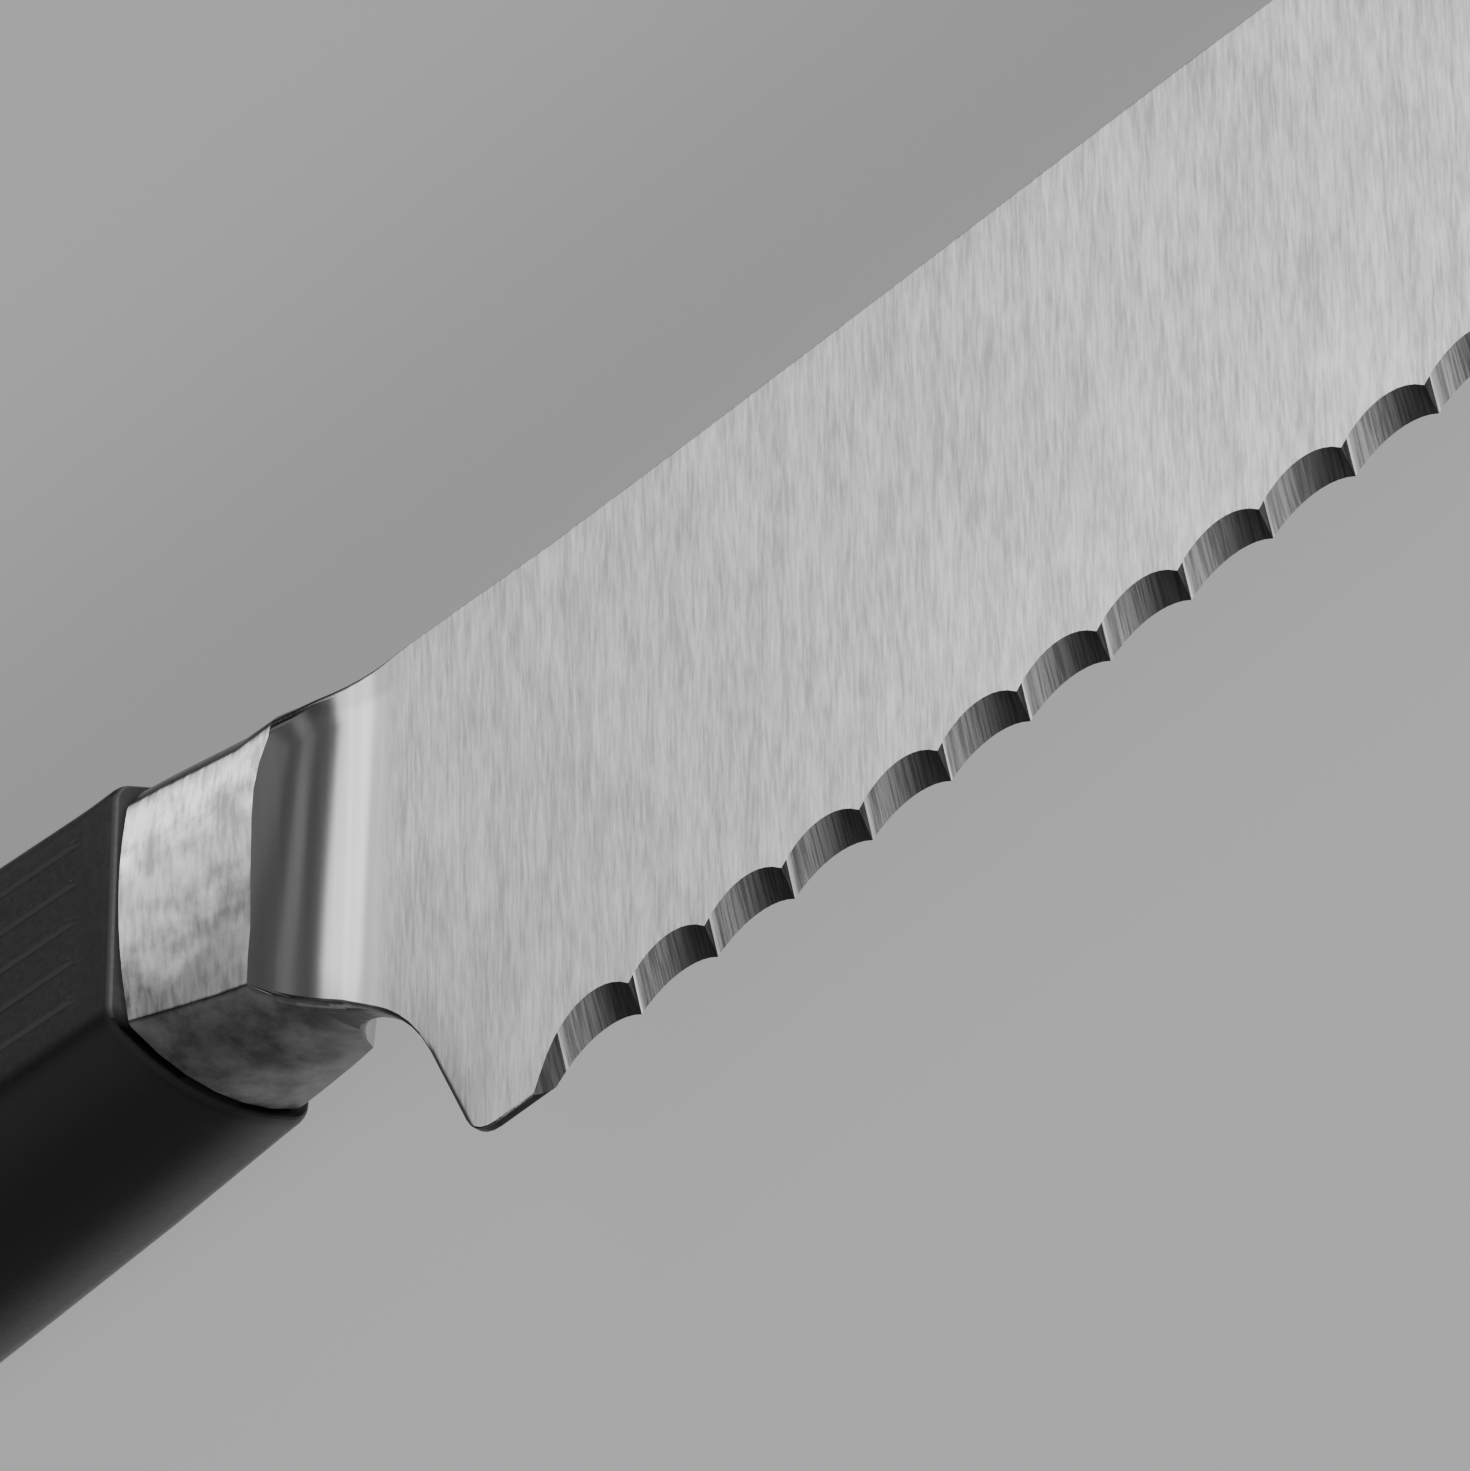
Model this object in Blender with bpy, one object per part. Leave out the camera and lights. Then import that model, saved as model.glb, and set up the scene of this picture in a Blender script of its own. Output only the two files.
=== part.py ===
"""Tomato knife: a forged blade with its bolster and tang in one, a moulded core and a moulded grip.

The knife lies on its flat side, as it rests on a table. +X runs to the point, +Y to the spine and +Z
out of the side that faces up, which is the side that the scalloped edge is ground on. All sizes are
metres. Until the last step, x is measured from where the blade's spine leaves the bolster, y from the
spine's line and z from the middle plane of the blade.
"""

import math

import bpy
from mathutils import Vector

# Blade, seen from its side
POINT_X = 0.139            # spine's start to the point
HEEL_HEIGHT = 0.0263       # spine's line down to the flat under the heel
HEEL_CORNER_RADIUS = 0.0019
CHOIL_RADIUS = 0.010       # hollow between the bolster's underside and the heel
CHOIL_ANGLE = math.radians(64.3)
CHOIL_START_X = -0.00363
EDGE_RISE = math.tan(math.radians(1.8))
BELLY_START_X = 0.105      # from here the edge bends up to the point
POINT_DEPTH = 0.0160       # spine's line down to the point
NOSE_HEIGHT = 0.0006       # the point's blunt end
PLUNGE_TOP = -0.00055      # height of the spine's line where x is zero
SPINE_START = -0.00020     # the spine's first stretch sags a little
SPINE_START_X = 0.0038
SPINE_SAG = -0.0005
SPINE_SAG_X = 0.015
SPINE_CREST = -0.0001
SPINE_CREST_X = 0.052      # from here the spine falls to the point
SPINE_DROP_POWER = 2.2

# Blade, across its thickness
SPINE_THICKNESS = 0.0019
SPINE_ARCH = 0.0033        # the spine's crown
SPINE_EASE = 0.0002        # its softened corners
POINT_THICKNESS = 0.0010
EDGE_THICKNESS = 0.0004    # left at the edge before the scallops are ground
POINT_EDGE_THICKNESS = 0.0003

# Scalloped edge, ground on the upper side only
SCALLOP_PITCH = 0.00451
SCALLOP_EDGE_DEPTH = 0.00070   # hollow of each scallop along the cutting edge
SCALLOP_FACE_DEPTH = 0.00080   # hollow of each scallop where it meets the blade's face
SCALLOP_BEVEL_HEIGHT = 0.00128
SCALLOP_FIRST_X = 0.01304
GROUND_DEPTH = 0.00053     # what the wheel takes off the outline at the teeth
PLAIN_POINT = 0.009        # the last stretch before the point has no scallops
FLUTE_LEAN = 0.0002        # each scallop lies this much nearer to the grip on the blade's face
WHEEL_LEAD = 0.0018        # the wheel meets the heel this far before the first scallop
WHEEL_SLOPE_AT = 0.85      # and comes in straight, up to this share of the hollow's radius
WHEEL_RUN_OUT = 0.0050     # and lifts out of the edge over this length
WHEEL_OVERLAP = 1.0        # the wheel's flank goes on past both faces by this share of the bevel
WHEEL_DEPTH = 0.006        # the wheel's own thickness below the edge
WHEEL_STEPS = 10           # flats across one scallop

# Bolster
BOLSTER_LENGTH = 0.0087
BOLSTER_REAR_TOP = -0.00065
BOLSTER_REAR_BOTTOM = -0.0146
BOLSTER_FRONT_BOTTOM = -0.0152
BOLSTER_REAR_HALF = 0.0044     # half thickness at its side's lower corners, grip end
BOLSTER_REAR_FLARE = 0.00045   # its upper corners stand out by this much more
BOLSTER_FRONT_HALF = 0.00315   # half thickness at the blade end
BOLSTER_FRONT_SWELLS = ((0.0, 0.0005), (0.15, 0.0006), (0.5, 0.00027), (0.75, 0.0))   # thicker by
BOLSTER_FRONT_X = -0.0023
BOLSTER_CROWN = 0.00042        # its sides swell this much at mid height
BOLSTER_FRONT_CROWN = 0.00012  # and this much at the blade end
BOLSTER_FRONT_TOP = -0.00075
BOLSTER_TOP_ARCH = 0.0096      # arch of its top, across the thickness
BOLSTER_FRONT_ARCH = 0.0062    # the same at the blade end
BOLSTER_KEEL_ARCH = 0.0084     # arch of its underside
BOLSTER_UNDER_ARCH = 0.0068    # the underside's arch at the blade end
BOLSTER_REAR_EASE = 0.0024     # radius of its upper corners
BOLSTER_TOP_EASE = 0.0026      # the same at the blade end
BOLSTER_UNDER_EASE = 0.0004    # radius of its lower corners
PLUNGE_TOP_EASE = 0.0006       # radius of the plunge's upper corners
PLUNGE_RADIUS = 0.0056         # hollow that brings its sides down to the blade's faces
PLUNGE_LEAN = 0.0012           # the hollow's upper end lies this much nearer to the point
PLUNGE_LEAN_POWER = 1.3

# Tang, hidden in the grip
TANG_LENGTH = 0.078
TANG_THICKNESS = 0.0030
TANG_FRONT_HEIGHT = 0.0076
TANG_END_HEIGHT = 0.0060
TANG_HOLE_RADIUS = 0.0020
TANG_HOLES = (0.024, 0.056)    # behind the bolster

# Grip: (distance behind its rim, value) along its top, its underside and its flat sides
FIT_GAP = 0.0003               # between moulded plastic and what it holds
RIM_PROUD = 0.00032            # the grip stands out round the bolster
RIM_TOP_PROUD = 0.00058        # a little more over its top
RIM_EASE_LENGTH = 0.00052      # its softened edge, long and shallow
RIM_EASE_DEPTH = 0.0003
GRIP_LENGTH = 0.104
GRIP_TOPS = ((0.002, -0.00011), (0.007, 0.0001), (0.020, 0.0004), (0.052, 0.0009), (0.086, -0.0002))
GRIP_BUTT_TOP = -0.0028
GRIP_UNDERS = ((0.007, -0.0152), (0.020, -0.0155), (0.052, -0.0170), (0.086, -0.0199))
GRIP_BUTT_UNDER = -0.0219
GRIP_HALF = 0.0065             # half thickness of its flat, parallel stretch
GRIP_FLAT_FROM = 0.040
GRIP_FLAT_TO = 0.090
GRIP_BUTT_HALF = 0.0060
GRIP_RIM_ARCH = 0.0095         # arch of its top and underside at the rim
GRIP_BUTT_ARCH = 0.0130
GRIP_RIM_CORNER = 0.0014       # radius between arch and flat side at the rim
GRIP_BUTT_CORNER = 0.0034
BUTT_RADIUS = 0.0035
BUTT_DOME = 0.0006

# Raised lines along the grip's flat sides
LINE_COUNT = 5
LINE_PITCH = 0.00195
LINE_RISE = 0.00035            # their middle lies this much above the side's middle
LINE_WIDTH = 0.00045
LINE_CREST = 0.00016
LINE_HEIGHT = 0.00012
LINE_START = 0.0020            # behind the rim
LINE_END = 0.010               # before the butt
LINE_TAPER = 0.0006

# Core, moulded round the tang before the grip is moulded round it
SKIN = 0.0020                  # the grip's wall over the core
CORE_START = 0.0050            # behind the rim
CORE_END = 0.0060              # before the butt

# Flats that stand for round forms, and the least radius of a corner that is moved in
CORNER_LEAST = 0.0002
ARCH_STEPS = 3
CORNER_STEPS = 5
SIDE_STEPS = 9
BOLSTER_STEPS = 4
PLUNGE_STEPS = 8
CHOIL_STEPS = 5
EDGE_STEPS = 10
BELLY_STEPS = 12
BUTT_STEPS = 5
GRIP_STEPS = 15
RIM_STEPS = 5
CORE_STEPS = 12
PIN_SIDES = 24

LINE_SECTION = ((LINE_WIDTH / 2, 0), (LINE_CREST / 2, 1), (-LINE_CREST / 2, 1), (-LINE_WIDTH / 2, 0))
REAR_X = -BOLSTER_LENGTH
RIM_X = REAR_X - FIT_GAP
BUTT_X = RIM_X - GRIP_LENGTH
TANG_Y = (BOLSTER_REAR_TOP + BOLSTER_REAR_BOTTOM) / 2


def clear_scene():
    for item in list(bpy.data.objects):
        bpy.data.objects.remove(item, do_unlink=True)


def make_material(name, colour, roughness, metallic):
    material = bpy.data.materials.new(name)
    material.use_nodes = True
    shader = material.node_tree.nodes["Principled BSDF"]
    shader.inputs["Base Color"].default_value = (*colour, 1.0)
    shader.inputs["Roughness"].default_value = roughness
    shader.inputs["Metallic"].default_value = metallic
    return material


def smooth_curve(stations, x):
    """Value at x of the curve through (x, value) stations that never overshoots them."""
    xs = [s[0] for s in stations]
    ys = [s[1] for s in stations]
    if x <= xs[0]:
        return ys[0]
    if x >= xs[-1]:
        return ys[-1]
    slopes = [(ys[i + 1] - ys[i]) / (xs[i + 1] - xs[i]) for i in range(len(xs) - 1)]
    tangents = [0.0]
    for before, after in zip(slopes, slopes[1:]):
        flat = before * after <= 0
        tangents.append(0.0 if flat else 2 * before * after / (before + after))
    tangents.append(slopes[-1])
    i = max(k for k in range(len(xs) - 1) if xs[k] <= x)
    width = xs[i + 1] - xs[i]
    t = (x - xs[i]) / width
    return (ys[i] * (2 * t**3 - 3 * t**2 + 1) + tangents[i] * width * (t**3 - 2 * t**2 + t)
            + ys[i + 1] * (3 * t**2 - 2 * t**3) + tangents[i + 1] * width * (t**3 - t**2))


def spread(first, last, steps):
    """Evenly spaced values from first to last, both included."""
    return [first + (last - first) * i / steps for i in range(steps + 1)]


def mix(a, b, share):
    return a + (b - a) * share


def add_loft(name, rings, material, crease=math.radians(30)):
    """Closed solid through rings of points, each anticlockwise seen from +X, the first at the -X end."""
    count = len(rings[0])
    points = [Vector(point) for ring in rings for point in ring]
    faces = []
    for i in range(len(rings) - 1):
        for j in range(count):
            k = (j + 1) % count
            faces.append((i * count + j, i * count + k, (i + 1) * count + k, (i + 1) * count + j))
    for ring, start, turn in ((rings[0], 0, -1), (rings[-1], (len(rings) - 1) * count, 1)):
        points.append(sum((Vector(point) for point in ring), Vector()) / count)
        for j in range(count):
            corner = (start + j, start + (j + 1) % count, len(points) - 1)
            faces.append(corner[::turn])
    mesh = bpy.data.meshes.new(name)
    mesh.from_pydata(points, [], faces)
    mesh.shade_smooth()
    mesh.set_sharp_from_angle(angle=crease)
    solid = bpy.data.objects.new(name, mesh)
    solid.data.materials.append(material)
    bpy.context.scene.collection.objects.link(solid)
    return solid


def cut(target, cutter):
    """Takes the cutter's solid out of the target and hides the cutter."""
    cutter.hide_render = True
    cutter.display_type = "WIRE"
    boolean = target.modifiers.new(cutter.name, "BOOLEAN")
    boolean.operation = "DIFFERENCE"
    boolean.object = cutter


def shoulder(half, arch, corner):
    """From the crest of an arched edge round its corner to the flat side, as (drop, half width)."""
    tilt = math.asin((half - corner) / (arch - corner))
    centre_drop = arch - math.sqrt((arch - corner)**2 - (half - corner)**2)
    crest = [(arch - arch * math.cos(a), arch * math.sin(a)) for a in spread(0.0, tilt, ARCH_STEPS)]
    turn = [(centre_drop - corner * math.cos(a), half - corner + corner * math.sin(a))
            for a in spread(tilt, math.pi / 2, CORNER_STEPS)]
    return crest + turn[1:]


def heel_profile():
    """Where the choil's arc, the straight behind the heel and the heel's round corner end, along x."""
    drop_arc = CHOIL_RADIUS * (1 - math.cos(CHOIL_ANGLE))
    drop_corner = HEEL_CORNER_RADIUS * (1 - math.cos(CHOIL_ANGLE))
    straight = (BOLSTER_FRONT_BOTTOM + HEEL_HEIGHT - drop_arc - drop_corner) / math.sin(CHOIL_ANGLE)
    arc_end = CHOIL_START_X + CHOIL_RADIUS * math.sin(CHOIL_ANGLE)
    straight_end = arc_end + straight * math.cos(CHOIL_ANGLE)
    corner_end = straight_end + HEEL_CORNER_RADIUS * math.sin(CHOIL_ANGLE)
    return arc_end, straight_end, corner_end


def spine_y(x):
    """Middle line of the upper outline, from the bolster's rear to the point."""
    if x <= SPINE_CREST_X:
        stations = ((REAR_X, BOLSTER_REAR_TOP), (BOLSTER_FRONT_X, BOLSTER_FRONT_TOP), (0.0, PLUNGE_TOP),
                    (SPINE_START_X, SPINE_START), (SPINE_SAG_X, SPINE_SAG), (SPINE_CREST_X, SPINE_CREST))
        return smooth_curve(stations, x)
    share = (x - SPINE_CREST_X) / (POINT_X - SPINE_CREST_X)
    return mix(SPINE_CREST, -POINT_DEPTH + NOSE_HEIGHT / 2, share**SPINE_DROP_POWER)


def under_y(x):
    """Middle line of the lower outline: bolster, choil, heel and edge, before it is ground."""
    arc_end, straight_end, corner_end = heel_profile()
    if x <= CHOIL_START_X:
        share = (x - REAR_X) / (CHOIL_START_X - REAR_X)
        return mix(BOLSTER_REAR_BOTTOM, BOLSTER_FRONT_BOTTOM, share)
    if x <= arc_end:
        run = x - CHOIL_START_X
        return BOLSTER_FRONT_BOTTOM - CHOIL_RADIUS + math.sqrt(CHOIL_RADIUS**2 - run**2)
    if x <= straight_end:
        arc_bottom = BOLSTER_FRONT_BOTTOM - CHOIL_RADIUS * (1 - math.cos(CHOIL_ANGLE))
        return arc_bottom - (x - arc_end) * math.tan(CHOIL_ANGLE)
    if x <= corner_end:
        run = corner_end - x
        return -HEEL_HEIGHT + HEEL_CORNER_RADIUS - math.sqrt(HEEL_CORNER_RADIUS**2 - run**2)
    return edge_y(x)


def edge_y(x):
    """Edge line: flat under the heel, then straight and rising, then bent up to the point."""
    straight = -HEEL_HEIGHT + EDGE_RISE * max(x - SCALLOP_FIRST_X, 0.0)
    if x <= BELLY_START_X:
        return straight
    share = (x - BELLY_START_X) / (POINT_X - BELLY_START_X)
    end = -HEEL_HEIGHT + EDGE_RISE * (POINT_X - SCALLOP_FIRST_X)
    return straight + (-POINT_DEPTH - NOSE_HEIGHT / 2 - end) * share**2


def edge_half(x):
    return mix(EDGE_THICKNESS, POINT_EDGE_THICKNESS, max(x, 0.0) / POINT_X) / 2


def blade_half(x, y):
    """Half thickness of the blade's wedge at a place on its side."""
    spine_half = mix(SPINE_THICKNESS, POINT_THICKNESS, max(x, 0.0) / POINT_X) / 2
    depth = (spine_y(x) - y) / (spine_y(x) - edge_y(x))
    return mix(spine_half, edge_half(x), min(max(depth, 0.0), 1.0))


def bolster_half(x, share):
    """Half thickness of the bolster's side at x and at a share of its height."""
    along = (x - REAR_X) / (BOLSTER_FRONT_X - REAR_X)
    rear = BOLSTER_REAR_HALF + BOLSTER_REAR_FLARE * (1 - share)
    crown = mix(BOLSTER_CROWN, BOLSTER_FRONT_CROWN, along)
    front = BOLSTER_FRONT_HALF + smooth_curve(BOLSTER_FRONT_SWELLS, share)
    return mix(rear, front, along) + crown * (1 - (2 * share - 1)**2)


def plunge_end_x(share):
    """Where the plunge's hollow runs out into the blade's face, at a share of the height."""
    rise = BOLSTER_FRONT_HALF - SPINE_THICKNESS / 2
    run = math.sqrt(PLUNGE_RADIUS**2 - (PLUNGE_RADIUS - rise)**2)
    return BOLSTER_FRONT_X + run + PLUNGE_LEAN * (1 - share)**PLUNGE_LEAN_POWER


def plunge_rise(x, share):
    """How far the plunge's hollow stands over the blade's face."""
    run = min(max(plunge_end_x(share) - x, 0.0), PLUNGE_RADIUS)
    return PLUNGE_RADIUS - math.sqrt(PLUNGE_RADIUS**2 - run**2)


def face_half(x, share):
    """Half thickness of blade and plunge together, at x and at a share of the height."""
    return blade_half(x, mix(spine_y(x), under_y(x), share)) + plunge_rise(x, share)


def plunge_start_x(share):
    """Where the hollow meets the bolster's side, found by halving."""
    low = REAR_X
    high = plunge_end_x(share)
    for _ in range(40):
        x = (low + high) / 2
        low, high = (x, high) if face_half(x, share) > bolster_half(x, share) else (low, x)
    return (low + high) / 2


def forging_ring(x_at, half_at):
    """Section of the forging. x_at and half_at give x and half thickness at a share of the height."""
    top_x = x_at(0.0)
    under_x = x_at(1.0)
    top_half = half_at(top_x, 0.0)
    under_half = half_at(under_x, 1.0)
    top_arch = smooth_curve(((REAR_X, BOLSTER_TOP_ARCH), (BOLSTER_FRONT_X, BOLSTER_FRONT_ARCH),
                             (plunge_end_x(0.0), SPINE_ARCH)), top_x)
    under_arch = smooth_curve(((REAR_X, BOLSTER_KEEL_ARCH), (BOLSTER_FRONT_X, BOLSTER_UNDER_ARCH)), under_x)
    top_ease = smooth_curve(((REAR_X, BOLSTER_REAR_EASE), (BOLSTER_FRONT_X, BOLSTER_TOP_EASE),
                             (0.0, PLUNGE_TOP_EASE), (plunge_end_x(0.0), SPINE_EASE)), top_x)
    under_ease = min(BOLSTER_UNDER_EASE, under_half / 2)
    top = [(top_x, spine_y(top_x) - drop, z) for drop, z in shoulder(top_half, top_arch, top_ease)]
    under = [(under_x, under_y(under_x) + drop, z)
             for drop, z in shoulder(under_half, under_arch, under_ease)]
    side = []
    for share in spread(0.0, 1.0, SIDE_STEPS)[1:-1]:
        x = x_at(share)
        side.append((x, mix(top[-1][1], under[-1][1], share), half_at(x, share)))
    return mirrored_ring(top + side + under[::-1])


def mirrored_ring(half_ring):
    """Whole section from the half of it that lies above the middle plane."""
    lower = [(x, y, -z) for x, y, z in half_ring[1:-1]]
    return half_ring + lower[::-1]


def tang_ring(x, height):
    """Section of the tang with as many points as a section of the forging."""
    half = TANG_THICKNESS / 2
    across = spread(0.0, half, ARCH_STEPS + CORNER_STEPS)
    top = [(x, TANG_Y + height / 2, z) for z in across]
    side = [(x, TANG_Y + height * (0.5 - share), half) for share in spread(0.0, 1.0, SIDE_STEPS)[1:-1]]
    under = [(x, TANG_Y - height / 2, z) for z in across[::-1]]
    return mirrored_ring(top + side + under)


def forging_rings():
    """Sections from the tang's end to the point."""
    tang_end = REAR_X - TANG_LENGTH
    rings = [
        tang_ring(tang_end, TANG_END_HEIGHT / 2),
        tang_ring(tang_end + TANG_END_HEIGHT / 4, TANG_END_HEIGHT),
        tang_ring(REAR_X, TANG_FRONT_HEIGHT),
    ]
    for along in spread(0.0, 1.0, BOLSTER_STEPS):
        rings.append(forging_ring(lambda share: mix(REAR_X, plunge_start_x(share), along), bolster_half))
    for along in spread(0.0, 1.0, PLUNGE_STEPS)[1:]:
        rings.append(forging_ring(
            lambda share: mix(plunge_start_x(share), plunge_end_x(share), along), face_half))
    arc_end, _, corner_end = heel_profile()
    for along in spread(0.0, 1.0, CHOIL_STEPS)[1:]:
        rings.append(forging_ring(lambda share: mix(plunge_end_x(share), arc_end, along), face_half))
    turned = spread(CHOIL_ANGLE, 0.0, CORNER_STEPS)
    stations = [corner_end - HEEL_CORNER_RADIUS * math.sin(angle) for angle in turned]
    stations += spread(SCALLOP_FIRST_X, BELLY_START_X, EDGE_STEPS)
    stations += spread(BELLY_START_X, POINT_X, BELLY_STEPS)[1:]
    for x in stations:
        rings.append(forging_ring(lambda share: x, face_half))
    return rings


def edge_stations():
    """Stations along the edge, a fixed small step of arc apart, as (length, x, y, normal)."""
    step = SCALLOP_PITCH / WHEEL_STEPS
    lead_steps = math.ceil(WHEEL_LEAD / step)
    x = SCALLOP_FIRST_X - lead_steps * step
    length = -lead_steps * step
    found = []
    while x < POINT_X:
        slope = (edge_y(x + step / 2) - edge_y(x - step / 2)) / step
        normal = Vector((-slope, 1.0, 0.0)).normalized()
        found.append((length, Vector((x, edge_y(x), 0.0)), normal))
        x += step / math.sqrt(1 + slope**2)
        length += step
    return found


def scallop(length, count, depth):
    """Depth of the scallops at a length along the edge: round hollows, with a straight way in."""
    radius = ((SCALLOP_PITCH / 2)**2 + depth**2) / (2 * depth)
    if length >= count * SCALLOP_PITCH:
        return 0.0
    off_centre = (length if length < 0 else length % SCALLOP_PITCH) - SCALLOP_PITCH / 2
    straight = max(-WHEEL_SLOPE_AT * radius - off_centre, 0.0)
    drop = math.sqrt(radius**2 - (off_centre + straight)**2)
    return drop - (radius - depth) - straight * WHEEL_SLOPE_AT * radius / drop


def add_wheel(material):
    """Cutter for the edge: the path of the shaped grinding wheel, from the heel to the point."""
    stations = edge_stations()
    whole = stations[-1][0]
    count = math.floor((whole - PLAIN_POINT) / SCALLOP_PITCH)
    rings = []
    for length, base, normal in stations:
        left = whole - length
        lift = (GROUND_DEPTH + SCALLOP_BEVEL_HEIGHT) * max(0.0, 1 - left / WHEEL_RUN_OUT)
        half = edge_half(base.x)
        bevel = SCALLOP_BEVEL_HEIGHT * 2 * half / EDGE_THICKNESS
        edge_hollow = scallop(length, count, SCALLOP_EDGE_DEPTH)
        face_hollow = scallop(length, count, SCALLOP_FACE_DEPTH)
        lean = Vector((-normal.y, normal.x, 0.0)) * FLUTE_LEAN
        edge = base + normal * (GROUND_DEPTH + edge_hollow - lift)
        face = base + normal * (GROUND_DEPTH + bevel + face_hollow - lift) + lean
        edge.z = -half
        face.z = half
        below = edge - (face - edge) * WHEEL_OVERLAP
        above = face + (face - edge) * WHEEL_OVERLAP
        rings.append([above, above - normal * WHEEL_DEPTH, below - normal * WHEEL_DEPTH, below, edge, face])
    return add_loft("grinding_wheel", rings, material)


def add_forging(steel):
    """Blade, bolster and tang, one piece of steel."""
    blade = add_loft("blade", forging_rings(), steel)
    cut(blade, add_wheel(steel))
    for i, distance in enumerate(TANG_HOLES):
        cut(blade, add_pin(f"tang_hole_{i + 1}", REAR_X - distance, TANG_HOLE_RADIUS, TANG_THICKNESS, steel))
    return blade


def add_pin(name, x, radius, height, material):
    """Round pin through the tang's middle, standing clear of both its faces."""
    bpy.ops.mesh.primitive_cylinder_add(
        vertices=PIN_SIDES, radius=radius, depth=height * 2, location=(x, TANG_Y, 0.0))
    pin = bpy.context.object
    pin.name = name
    pin.data.shade_smooth()
    pin.data.set_sharp_from_angle(angle=math.radians(30))
    pin.data.materials.append(material)
    return pin


def grip_top(distance):
    rim = BOLSTER_REAR_TOP + RIM_TOP_PROUD
    return smooth_curve(((0.0, rim), *GRIP_TOPS, (GRIP_LENGTH, GRIP_BUTT_TOP)), distance)


def grip_under(distance):
    rim = BOLSTER_REAR_BOTTOM - RIM_PROUD
    return smooth_curve(((0.0, rim), *GRIP_UNDERS, (GRIP_LENGTH, GRIP_BUTT_UNDER)), distance)


def grip_half(distance):
    """Half thickness: swells behind the rim, runs parallel, then narrows to the butt."""
    if distance > GRIP_FLAT_TO:
        share = (distance - GRIP_FLAT_TO) / (GRIP_LENGTH - GRIP_FLAT_TO)
        return mix(GRIP_HALF, GRIP_BUTT_HALF, share**2)
    rim = BOLSTER_REAR_HALF + BOLSTER_REAR_FLARE + RIM_PROUD
    share = min(distance / GRIP_FLAT_FROM, 1.0)
    return mix(rim, GRIP_HALF, math.sin(share * math.pi / 2))


def grip_ring(distance, inset=0.0, line_height=None, x=None):
    """Section of the grip, moved in by inset: arched top and underside, round corners, flat sides.

    With a line height it has the points of the raised lines as well.
    """
    x = RIM_X - distance if x is None else x
    share = min(distance / GRIP_FLAT_FROM, 1.0)
    half = grip_half(distance) - inset
    arch = mix(GRIP_RIM_ARCH, GRIP_BUTT_ARCH, share) - inset
    corner = min(max(mix(GRIP_RIM_CORNER, GRIP_BUTT_CORNER, share) - inset, CORNER_LEAST), half / 2)
    crest = grip_top(distance) - inset
    keel = grip_under(distance) + inset
    edge = shoulder(half, arch, corner)
    half_ring = [(x, crest - drop, z) for drop, z in edge]
    if line_height is not None:
        outer = shoulder(half + inset, arch + inset, corner + inset)[-1][0]
        squeeze = (crest - keel - 2 * edge[-1][0]) / (crest - keel + 2 * (inset - outer))
        for k in range(LINE_COUNT):
            centre = LINE_RISE + ((LINE_COUNT - 1) / 2 - k) * LINE_PITCH
            for off_centre, raised in LINE_SECTION:
                y = (crest + keel) / 2 + squeeze * (centre + off_centre)
                half_ring.append((x, y, half + line_height * raised))
    half_ring += [(x, keel + drop, z) for drop, z in edge[::-1]]
    return mirrored_ring(half_ring)


def grip_rings():
    """Sections of the grip from its butt to its rim."""
    line_end = GRIP_LENGTH - LINE_END
    butt = GRIP_LENGTH - BUTT_RADIUS
    dome = (BUTT_RADIUS + GRIP_BUTT_HALF) / 2
    rings = [grip_ring(butt, dome, 0.0, BUTT_X)]
    for angle in spread(0.0, math.pi / 2, BUTT_STEPS):
        x = BUTT_X + BUTT_DOME + (BUTT_RADIUS - BUTT_DOME) * (1 - math.cos(angle))
        rings.append(grip_ring(butt, BUTT_RADIUS * (1 - math.sin(angle)), 0.0, x))
    for tapers in (2, 1):
        rings.append(grip_ring(line_end + tapers * LINE_TAPER, 0.0, 0.0))
    for distance in spread(line_end, LINE_START + LINE_TAPER, GRIP_STEPS):
        rings.append(grip_ring(distance, 0.0, LINE_HEIGHT))
    for tapers in (0, 1):
        rings.append(grip_ring(LINE_START - tapers * LINE_TAPER, 0.0, 0.0))
    for angle in spread(0.0, math.pi / 2, RIM_STEPS):
        rings.append(grip_ring(
            RIM_EASE_LENGTH * (1 - math.sin(angle)), RIM_EASE_DEPTH * (1 - math.cos(angle)), 0.0))
    return rings


def core_rings(spare):
    """Sections of the core, or with spare more than zero of the room that it needs in the grip."""
    inset = SKIN + FIT_GAP - spare
    first = GRIP_LENGTH - CORE_END + spare
    return [grip_ring(distance, inset) for distance in spread(first, CORE_START - spare, CORE_STEPS)]


def tang_room(name, material):
    """Room for the tang: its own tapered shape with the fit gap all round."""
    end = REAR_X - TANG_LENGTH - FIT_GAP
    half = TANG_THICKNESS / 2 + FIT_GAP
    front = TANG_FRONT_HEIGHT + 2 * FIT_GAP
    rings = []
    for x, height in ((end, TANG_END_HEIGHT + 2 * FIT_GAP), (REAR_X + FIT_GAP, front)):
        corners = ((0.5, -1), (0.5, 1), (-0.5, 1), (-0.5, -1))
        rings.append([(x, TANG_Y + height * s, half * side) for s, side in corners])
    return add_loft(name, rings, material)


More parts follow.
